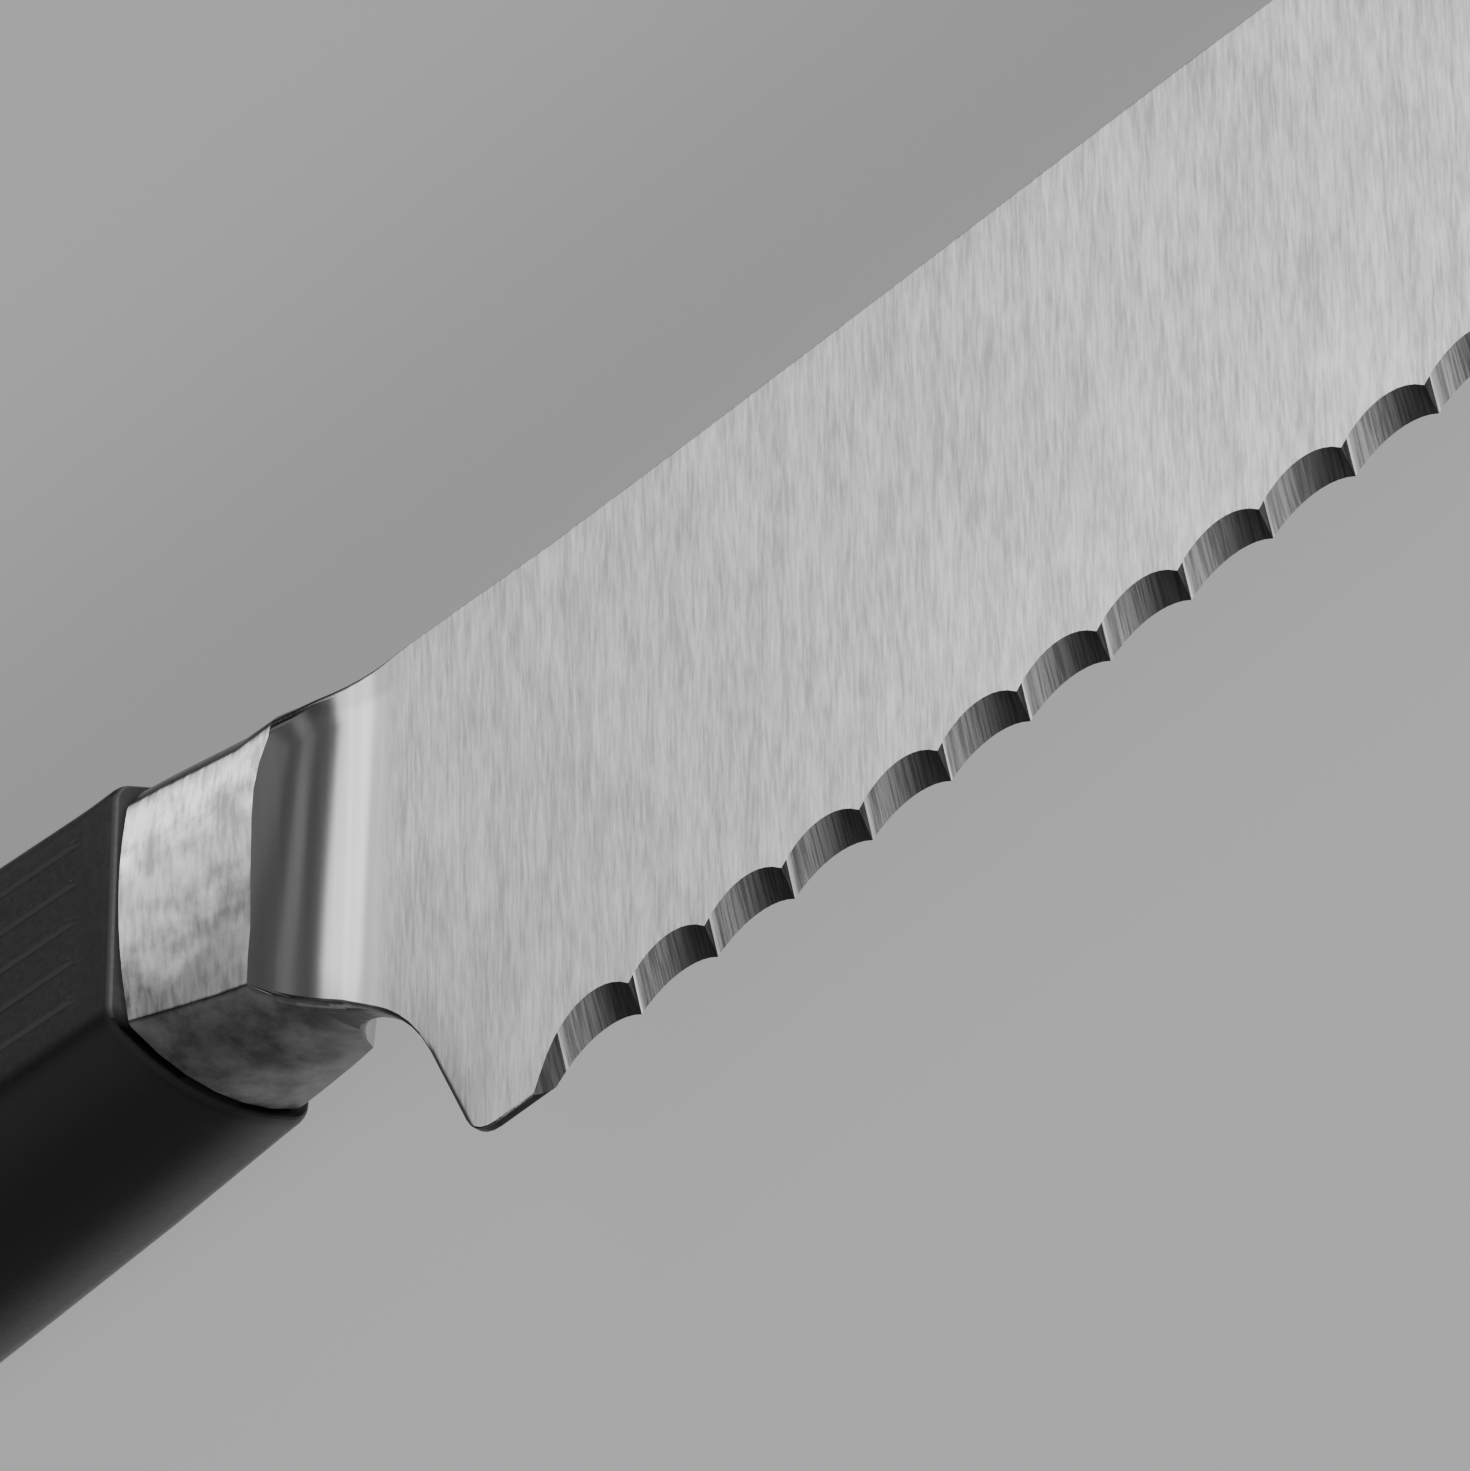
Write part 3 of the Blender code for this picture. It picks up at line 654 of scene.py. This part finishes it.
# The light at the top and the shade at the foot are both painted.
light = add_node(tree, "Math", {0: painted_glow.outputs[0], 1: foot.outputs[0]}, operation="MULTIPLY")
print("the foot's shade is", FOOT_SHADE, "and the top's light", GLOW_ABOVE)

# %% Clouded steel for the bolster
SIDE_ENDS_FROM = 0.27
SIDE_ENDS_TO = 0.35
STROKE_SMOOTHEST = 0.24
STROKE_ROUGHEST = 0.36
STROKE_DEPTH = 0.003 * MM

tint = add_node(
    tree,
    "Mix",
    {0: tone.outputs[0], 6: linear("#B2B2B2"), 7: linear("#F8F8F8")},
    data_type="RGBA",
)
shaded = add_node(
    tree,
    "Mix",
    {0: 1.0, 6: tint.outputs[2], 7: light.outputs[0]},
    data_type="RGBA",
    blend_type="MULTIPLY",
)
# Where the sides round over into the top, they are painted dark grey: painted shade.
facing = add_node(tree, "SeparateXYZ", {0: add_node(tree, "TexCoord").outputs["Normal"]})
upward = add_node(
    tree,
    "MapRange",
    {0: facing.outputs["Y"], 1: SIDE_ENDS_FROM, 2: SIDE_ENDS_TO},
    interpolation_type=SMOOTH,
)
painted_top_shade = add_node(
    tree,
    "Mix",
    {0: upward.outputs[0], 6: shaded.outputs[2], 7: linear("#565656")},
    data_type="RGBA",
)
tree.links.new(painted_top_shade.outputs[2], steel.inputs["Base Color"])
rough = add_node(
    tree,
    "MapRange",
    {0: strokes.outputs[0], 1: NOISE_LOW, 2: NOISE_HIGH, 3: STROKE_SMOOTHEST, 4: STROKE_ROUGHEST},
)
tree.links.new(rough.outputs[0], steel.inputs["Roughness"])
relief = add_node(
    tree, "Bump", {"Strength": 1.0, "Distance": STROKE_DEPTH, "Height": strokes.outputs[0]}
)
tree.links.new(relief.outputs[0], steel.inputs["Normal"])
steel.inputs["Metallic"].default_value = 1.0
print(clouded.name, "has", len(tree.nodes), "nodes")

# %% [markdown]
# ## The bolster's underside
# The bolster's underside, and the corner that leads to it, are painted dark grey: painted shade, in
# a tone that varies in clouds. The far side is painted paler, a painted reflection of the card that
# it faces.

# %% Painted shade on the underside
DARKEST_UNDERSIDE = 0.35
LIGHTEST_UNDERSIDE = 0.65
UNDERSIDE_NEAR = 10 * MM
UNDERSIDE_FAR = 3 * MM
SHADE_NEAR = 0.4
SHADE_FAR = 1.7
UNDERSIDE_SMOOTHEST = 0.25
UNDERSIDE_ROUGHEST = 0.4

shaded_underside = bpy.data.materials.new("stainless_steel_painted_shade")
shaded_underside.use_nodes = True
tree = shaded_underside.node_tree
steel = tree.nodes["Principled BSDF"]
where = add_node(tree, "TexCoord").outputs["Object"]
clouds = add_node(
    tree,
    "TexNoise",
    {"Vector": where, "Scale": 1 / CLOUD_SIZE, "Detail": 5.0, "Roughness": 0.6},
)
tone = add_node(tree, "MapRange", {0: clouds.outputs[0], 1: DARKEST_UNDERSIDE, 2: LIGHTEST_UNDERSIDE})
# These greys are painted shade, and the far side is painted paler, a painted reflection of the
# card.
tint = add_node(
    tree,
    "Mix",
    {0: tone.outputs[0], 6: linear("#444444"), 7: linear("#707070")},
    data_type="RGBA",
)
split = add_node(tree, "SeparateXYZ", {0: where})
shade = add_node(
    tree,
    "MapRange",
    {0: split.outputs["Z"], 1: UNDERSIDE_NEAR, 2: UNDERSIDE_FAR, 3: SHADE_NEAR, 4: SHADE_FAR},
    interpolation_type=SMOOTH,
)
shaded = add_node(
    tree,
    "Mix",
    {0: 1.0, 6: tint.outputs[2], 7: shade.outputs[0]},
    data_type="RGBA",
    blend_type="MULTIPLY",
)
tree.links.new(shaded.outputs[2], steel.inputs["Base Color"])
rough = add_node(
    tree,
    "MapRange",
    {0: clouds.outputs[0], 1: NOISE_LOW, 2: NOISE_HIGH, 3: UNDERSIDE_SMOOTHEST, 4: UNDERSIDE_ROUGHEST},
)
tree.links.new(rough.outputs[0], steel.inputs["Roughness"])
steel.inputs["Metallic"].default_value = 1.0
print(shaded_underside.name, "has", len(tree.nodes), "nodes")

# %% [markdown]
# ## The choil's wall and the flat under the heel
# These narrow walls are milled and never brushed. They look down at the card, and they are painted
# dark grey: painted shade. Fine marks run across them, drawn a little coarser than real ones.

# %% Milled walls, painted dark
MILL_MARK = 0.3 * MM
MILLED_SMOOTHEST = 0.3
MILLED_ROUGHEST = 0.45

milled_and_shaded = bpy.data.materials.new("stainless_steel_milled_painted_shade")
milled_and_shaded.use_nodes = True
tree = milled_and_shaded.node_tree
steel = tree.nodes["Principled BSDF"]
where = add_node(tree, "TexCoord").outputs["Object"]
marks = add_node(tree, "TexNoise", {"Vector": where, "Scale": 1 / MILL_MARK, "Detail": 3.0})
# The dark greys are painted shade; the marks across them are real.
tint = add_node(
    tree,
    "Mix",
    {0: marks.outputs[0], 6: linear("#202020"), 7: linear("#484848")},
    data_type="RGBA",
)
tree.links.new(tint.outputs[2], steel.inputs["Base Color"])
rough = add_node(
    tree,
    "MapRange",
    {0: marks.outputs[0], 1: NOISE_LOW, 2: NOISE_HIGH, 3: MILLED_SMOOTHEST, 4: MILLED_ROUGHEST},
)
tree.links.new(rough.outputs[0], steel.inputs["Roughness"])
steel.inputs["Metallic"].default_value = 1.0
print(milled_and_shaded.name, "has", len(tree.nodes), "nodes")

# %% [markdown]
# ## The ground scallops
# A profiled wheel cuts each scallop and leaves fine lines across the edge. Each scallop is painted
# darker on the side towards the point: painted shade. A narrow dull land stays at each tip between
# two scallops, and beside it a grey strip is painted: painted shade. Places in a scallop are a
# share of its length, counted from the side of the heel.

# %% Lines and strips on a scallop
SCALLOP_PITCH = 4.51 * MM
FIRST_SCALLOP = 0.04 * MM
RULING_WIDTH = 0.11 * MM
RULING_LENGTH = 3 * MM
SHADE_ACROSS_FROM = 0.15
SHADE_ACROSS_TO = 0.75
LINE_DARKEST = 0.38
LINE_LIGHTEST = 0.56
LINE_SHADE = 0.62
LINE_LIGHT = 1.15
STRIP_FROM = 0.012
STRIP_FULL_FROM = 0.03
STRIP_FULL_TO = 0.07
STRIP_TO = 0.16
STRIP_SHADE = 0.5

ground = bpy.data.materials.new("stainless_steel_wheel_ground")
ground.use_nodes = True
tree = ground.node_tree
steel = tree.nodes["Principled BSDF"]
where = add_node(tree, "TexCoord").outputs["Object"]
split = add_node(tree, "SeparateXYZ", {0: where})
along = add_node(tree, "Math", {0: split.outputs["X"], 1: -FIRST_SCALLOP}, operation="ADD")
turns = add_node(tree, "Math", {0: along.outputs[0], 1: SCALLOP_PITCH}, operation="DIVIDE")
phase = add_node(tree, "Math", {0: turns.outputs[0]}, operation="FRACT")
ruling_place = add_node(
    tree,
    "Mapping",
    {0: where, "Scale": (1 / RULING_WIDTH, 1 / RULING_LENGTH, 1 / RULING_LENGTH)},
)
ruling = add_node(
    tree, "TexNoise", {"Vector": ruling_place.outputs[0], "Scale": 1.0, "Detail": 2.0}
)
# Each scallop is painted darker towards the point: painted shade.
painted_shade_across = add_node(
    tree,
    "MapRange",
    {0: phase.outputs[0], 1: SHADE_ACROSS_FROM, 2: SHADE_ACROSS_TO},
    interpolation_type=SMOOTH,
)
lines = add_node(
    tree,
    "MapRange",
    {0: ruling.outputs[0], 1: LINE_DARKEST, 2: LINE_LIGHTEST, 3: LINE_SHADE, 4: LINE_LIGHT},
)
# A grey strip beside each tip is painted: painted shade.
entering = add_node(
    tree,
    "MapRange",
    {0: phase.outputs[0], 1: STRIP_FROM, 2: STRIP_FULL_FROM, 3: 1.0, 4: STRIP_SHADE},
    interpolation_type=SMOOTH,
)
leaving = add_node(
    tree,
    "MapRange",
    {0: phase.outputs[0], 1: STRIP_FULL_TO, 2: STRIP_TO, 3: STRIP_SHADE, 4: 1.0},
    interpolation_type=SMOOTH,
)
painted_strip_shade = add_node(
    tree, "Math", {0: entering.outputs[0], 1: leaving.outputs[0]}, operation="MAXIMUM"
)
lines_and_shade = add_node(tree, "Math", {0: lines.outputs[0], 1: painted_strip_shade.outputs[0]}, operation="MULTIPLY")
print("scallops are", round(SCALLOP_PITCH / MM, 2), "mm long")

# %% Ruled, ground steel
RULING_DEPTH = 0.004 * MM
LAND_SHARE = 0.08
LAND_ROUGHNESS = 0.6
GROUND_ROUGHNESS = 0.22

# The darker tone is the painted shade across each scallop.
tint = add_node(
    tree,
    "Mix",
    {0: painted_shade_across.outputs[0], 6: linear("#F4F4F4"), 7: linear("#606060")},
    data_type="RGBA",
)
ruled = add_node(
    tree,
    "Mix",
    {0: 1.0, 6: tint.outputs[2], 7: lines_and_shade.outputs[0]},
    data_type="RGBA",
    blend_type="MULTIPLY",
)
tree.links.new(ruled.outputs[2], steel.inputs["Base Color"])
relief = add_node(
    tree, "Bump", {"Strength": 1.0, "Distance": RULING_DEPTH, "Height": ruling.outputs[0]}
)
tree.links.new(relief.outputs[0], steel.inputs["Normal"])
land = add_node(
    tree,
    "MapRange",
    {0: phase.outputs[0], 1: 0.0, 2: LAND_SHARE, 3: LAND_ROUGHNESS, 4: GROUND_ROUGHNESS},
)
tree.links.new(land.outputs[0], steel.inputs["Roughness"])
steel.inputs["Metallic"].default_value = 1.0
print(ground.name, "has", len(tree.nodes), "nodes")

# %% [markdown]
# ## Which face has which finish
# Each face of the forging is told apart by its place and by the way it looks: the sides look up or
# down, the top and underside look to the spine or to the edge, and the scallops lean between. The
# numbers with LOOKS in their name are parts of a face's normal, each along one axis.

# %% A helper that gives faces a finish
def finish_faces(piece, material, belongs):
    """Gives the material to the faces for which belongs(centre, normal) holds."""
    piece.data.materials.append(material)
    slot = len(piece.data.materials) - 1
    count = 0
    for face in piece.data.polygons:
        if belongs(face.center, face.normal):
            face.material_index = slot
            count += 1
    print(material.name, "is on", count, "faces")


# %% Find the bolster's sides and underside
BOLSTER_FRONT = -14.0 * MM
SIDE_LOOKS_ALONG = 0.4
WALL_START = -10.5 * MM
UNDERSIDE_LOOKS_OUT = -0.3
CORNER_START = -15.4 * MM
CORNER_TOP = -1.9 * MM
CORNER_LOOKS_ALONG = -0.1
CORNER_LOOKS_OUT = -0.095


def on_bolster_side(at, way):
    """Whether a face is behind the hollow and doesn't look along the knife."""
    return at.x < BOLSTER_FRONT and abs(way.x) < SIDE_LOOKS_ALONG


def on_shaded_underside(at, way):
    """Whether a face is on the bolster's underside or on the corner that leads to it."""
    low = at.x > CORNER_START and at.y < CORNER_TOP
    corner = low and way.x > CORNER_LOOKS_ALONG and way.y < CORNER_LOOKS_OUT
    return at.x < WALL_START and (way.y < UNDERSIDE_LOOKS_OUT or corner)


finish_faces(blade, clouded, on_bolster_side)
finish_faces(blade, shaded_underside, on_shaded_underside)

# %% Find the milled walls and the scallops
WALL_END = 1 * MM
WALL_LOOKS_OUT = -0.12
FOOT_START = -15.5 * MM
FOOT_END = -11.8 * MM
FOOT_TOP = -1.8 * MM
FOOT_LOOKS_FORWARD = 0.12
FOOT_LOOKS_OUT = -0.2
BORDER_LOOKS_BACK = -0.3
BORDER_LOOKS_OUT = -0.5


def on_shaded_wall(at, way):
    """Whether a face is on the choil's wall, on the heel's flat or at the foot of the hollow."""
    if at.x >= WALL_START:
        return at.x < WALL_END and min(way.x, way.y) < WALL_LOOKS_OUT
    bevelled = way.x > FOOT_LOOKS_FORWARD and way.y < FOOT_LOOKS_OUT and way.z > 0
    corner = at.y < FOOT_TOP and bevelled
    border = at.x < FOOT_END and way.x < BORDER_LOOKS_BACK and way.y < BORDER_LOOKS_OUT
    return at.x > FOOT_START and (corner or border)


finish_faces(blade, milled_and_shaded, on_shaded_wall)
finish_faces(blade, ground, wheel_ground)

# %% [markdown]
# ## Black moulded plastic
# The grip is moulded from black polypropylene in a mould with a spark-eroded skin. The skin copies
# as tiny pits and bumps, drawn coarser than real ones, which spread the light to a satin gloss.
# Faces that look towards the steel are painted a little paler, as painted light, and faces that
# look down are painted paler still, as a painted reflection of the card.

# %% Tones of the black plastic
SPARK_GRAIN = 0.25 * MM
FRONT_LIGHT_FROM = 0.15
FRONT_LIGHT_TO = 0.6
UNDER_LIGHT_FROM = -0.1
UNDER_LIGHT_TO = -0.7

plastic = bpy.data.materials.new("polypropylene_moulded_satin")
plastic.use_nodes = True
tree = plastic.node_tree
skin = tree.nodes["Principled BSDF"]
where = add_node(tree, "TexCoord").outputs["Object"]
grain = add_node(tree, "TexNoise", {"Vector": where, "Scale": 1 / SPARK_GRAIN, "Detail": 2.0})
tint = add_node(
    tree,
    "Mix",
    {0: grain.outputs[0], 6: linear("#070707"), 7: linear("#0E0E0E")},
    data_type="RGBA",
)
facing = add_node(tree, "SeparateXYZ", {0: add_node(tree, "TexCoord").outputs["Normal"]})
# Faces that look towards the blade are painted paler: painted light.
front = add_node(
    tree,
    "MapRange",
    {0: facing.outputs["X"], 1: FRONT_LIGHT_FROM, 2: FRONT_LIGHT_TO},
    interpolation_type=SMOOTH,
)
painted_light_front = add_node(
    tree,
    "Mix",
    {0: front.outputs[0], 6: tint.outputs[2], 7: linear("#1C1C1C")},
    data_type="RGBA",
)
# Faces that look down are painted paler: a painted reflection of the card.
below = add_node(
    tree,
    "MapRange",
    {0: facing.outputs["Z"], 1: UNDER_LIGHT_FROM, 2: UNDER_LIGHT_TO},
    interpolation_type=SMOOTH,
)
painted_light_below = add_node(
    tree,
    "Mix",
    {0: below.outputs[0], 6: painted_light_front.outputs[2], 7: linear("#626262")},
    data_type="RGBA",
)
tree.links.new(painted_light_below.outputs[2], skin.inputs["Base Color"])
print("the black plastic is", round(linear("#0E0E0E")[0], 4), "in linear light")

# %% Satin gloss of the black plastic
SATIN_PLASTIC_SMOOTHEST = 0.38
SATIN_PLASTIC_ROUGHEST = 0.5
BLACK_SPECULAR = 0.13
SHEEN_WEIGHT = 0.3
SHEEN_ROUGHNESS = 0.14
SPARK_DEPTH = 0.004 * MM

rough = add_node(
    tree,
    "MapRange",
    {
        0: grain.outputs[0],
        1: NOISE_LOW,
        2: NOISE_HIGH,
        3: SATIN_PLASTIC_SMOOTHEST,
        4: SATIN_PLASTIC_ROUGHEST,
    },
)
tree.links.new(rough.outputs[0], skin.inputs["Roughness"])
skin.inputs["Specular IOR Level"].default_value = BLACK_SPECULAR
skin.inputs["Sheen Weight"].default_value = SHEEN_WEIGHT
skin.inputs["Sheen Roughness"].default_value = SHEEN_ROUGHNESS
relief = add_node(
    tree, "Bump", {"Strength": 1.0, "Distance": SPARK_DEPTH, "Height": grain.outputs[0]}
)
tree.links.new(relief.outputs[0], skin.inputs["Normal"])
grip.data.materials.append(plastic)
print(plastic.name, "has", len(tree.nodes), "nodes")

# %% [markdown]
# ## The rim's painted highlight
# Where the plastic meets the steel, the grip ends in a softened rim, a little glossier than the
# rest. Its roundest part is painted pale, a painted highlight: a soft light line down each side of
# the bolster. It fades out at the rim's lower corner.

# %% Painted highlight on the rim's round
RIM_FOOT = -0.85 * MM
RIM_FADE = 1.4 * MM
MOULD_MARK = 0.4 * MM
ROUND_FROM = 0.3
ROUND_TO = 0.74
INNER_FROM = 0.85
INNER_SHADE = 0.7

highlighted_rim = bpy.data.materials.new("polypropylene_rim_painted_highlight")
highlighted_rim.use_nodes = True
tree = highlighted_rim.node_tree
skin = tree.nodes["Principled BSDF"]
where = add_node(tree, "TexCoord").outputs["Object"]
marks = add_node(tree, "TexNoise", {"Vector": where, "Scale": 1 / MOULD_MARK, "Detail": 2.0})
# The pale tones are the painted highlight.
tint = add_node(
    tree,
    "Mix",
    {0: marks.outputs[0], 6: linear("#606060"), 7: linear("#7A7A7A")},
    data_type="RGBA",
)
facing = add_node(tree, "SeparateXYZ", {0: add_node(tree, "TexCoord").outputs["Normal"]})
rounding = add_node(
    tree,
    "MapRange",
    {0: facing.outputs["X"], 1: ROUND_FROM, 2: ROUND_TO},
    interpolation_type=SMOOTH,
)
inner = add_node(
    tree,
    "MapRange",
    {0: facing.outputs["X"], 1: INNER_FROM, 2: 1.0, 3: 1.0, 4: INNER_SHADE},
    interpolation_type=SMOOTH,
)
round_rim = add_node(
    tree, "Math", {0: rounding.outputs[0], 1: inner.outputs[0]}, operation="MULTIPLY"
)
split = add_node(tree, "SeparateXYZ", {0: where})
upper = add_node(
    tree,
    "MapRange",
    {0: split.outputs["Y"], 1: RIM_FOOT, 2: RIM_FOOT + RIM_FADE},
    interpolation_type=SMOOTH,
)
pale = add_node(
    tree, "Math", {0: round_rim.outputs[0], 1: upper.outputs[0]}, operation="MULTIPLY"
)
print("the pale line fades over", round(RIM_FADE / MM, 1), "mm")

# %% The rim's gloss and faces
RIM_BACK = -22.5 * MM
RIM_LOOKS_FORWARD = 0.02
RIM_LOOKS_OUT = -0.3
RIM_SMOOTHEST = 0.36
RIM_ROUGHEST = 0.46

painted_light_tone = add_node(
    tree,
    "Mix",
    {0: pale.outputs[0], 6: linear("#0A0A0A"), 7: tint.outputs[2]},
    data_type="RGBA",
)
tree.links.new(painted_light_tone.outputs[2], skin.inputs["Base Color"])
rough = add_node(
    tree,
    "MapRange",
    {0: marks.outputs[0], 1: NOISE_LOW, 2: NOISE_HIGH, 3: RIM_SMOOTHEST, 4: RIM_ROUGHEST},
)
tree.links.new(rough.outputs[0], skin.inputs["Roughness"])
skin.inputs["Specular IOR Level"].default_value = BLACK_SPECULAR


def on_rim(at, way):
    """Whether a face is on the front end of the grip, but for its underside."""
    turned = way.x > RIM_LOOKS_FORWARD and way.y > RIM_LOOKS_OUT
    return at.x > RIM_BACK and at.y > RIM_FOOT and turned


finish_faces(grip, highlighted_rim, on_rim)

# %% [markdown]
# ## Rubbed lines with a painted highlight
# The hand rubs the raised lines on the grip's sides. Their flanks lose the mould's grain first, so
# they shine a little. They are also painted paler, a painted highlight, so that they look like thin
# light lines.

# %% Rubbed flanks of the raised lines
RUB_GRAIN = 0.6 * MM
RUBBED_SMOOTHEST = 0.25
RUBBED_ROUGHEST = 0.4
RUBBED_SPECULAR = 0.24
FLANK_LEAN = 0.64
FLANK_PLAY = 0.03
FLANK_LOOKS_ALONG = 0.1

rubbed_and_highlighted = bpy.data.materials.new("polypropylene_rubbed_painted_highlight")
rubbed_and_highlighted.use_nodes = True
tree = rubbed_and_highlighted.node_tree
skin = tree.nodes["Principled BSDF"]
where = add_node(tree, "TexCoord").outputs["Object"]
marks = add_node(tree, "TexNoise", {"Vector": where, "Scale": 1 / RUB_GRAIN, "Detail": 3.0})
# The paler tone is a painted highlight.
tint = add_node(
    tree,
    "Mix",
    {0: marks.outputs[0], 6: linear("#141414"), 7: linear("#222222")},
    data_type="RGBA",
)
tree.links.new(tint.outputs[2], skin.inputs["Base Color"])
rough = add_node(
    tree,
    "MapRange",
    {0: marks.outputs[0], 1: NOISE_LOW, 2: NOISE_HIGH, 3: RUBBED_SMOOTHEST, 4: RUBBED_ROUGHEST},
)
tree.links.new(rough.outputs[0], skin.inputs["Roughness"])
skin.inputs["Specular IOR Level"].default_value = RUBBED_SPECULAR


def on_flank(at, way):
    """Whether a face leans as the flanks of the raised lines do."""
    return abs(abs(way.y) - FLANK_LEAN) < FLANK_PLAY and abs(way.x) < FLANK_LOOKS_ALONG


finish_faces(grip, rubbed_and_highlighted, on_flank)

# %% [markdown]
# ## The hidden core
# The core is the first shot of the moulding. Nobody sees it, and it gets the rougher skin that
# plastic has where a second shot has to grip it.

# %% Rough core plastic
CORE_GRAIN = 0.8 * MM
CORE_DEPTH = 0.03 * MM
CORE_ROUGHNESS = 0.6

core_plastic = bpy.data.materials.new("polypropylene_first_shot")
core_plastic.use_nodes = True
tree = core_plastic.node_tree
skin = tree.nodes["Principled BSDF"]
where = add_node(tree, "TexCoord").outputs["Object"]
grain = add_node(tree, "TexNoise", {"Vector": where, "Scale": 1 / CORE_GRAIN, "Detail": 3.0})
tint = add_node(
    tree,
    "Mix",
    {0: grain.outputs[0], 6: linear("#303030"), 7: linear("#454545")},
    data_type="RGBA",
)
tree.links.new(tint.outputs[2], skin.inputs["Base Color"])
relief = add_node(
    tree, "Bump", {"Strength": 1.0, "Distance": CORE_DEPTH, "Height": grain.outputs[0]}
)
tree.links.new(relief.outputs[0], skin.inputs["Normal"])
skin.inputs["Roughness"].default_value = CORE_ROUGHNESS
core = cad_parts["handle_core"]
core.data.materials.clear()
core.data.materials.append(core_plastic)
print(core_plastic.name, "has", len(tree.nodes), "nodes")
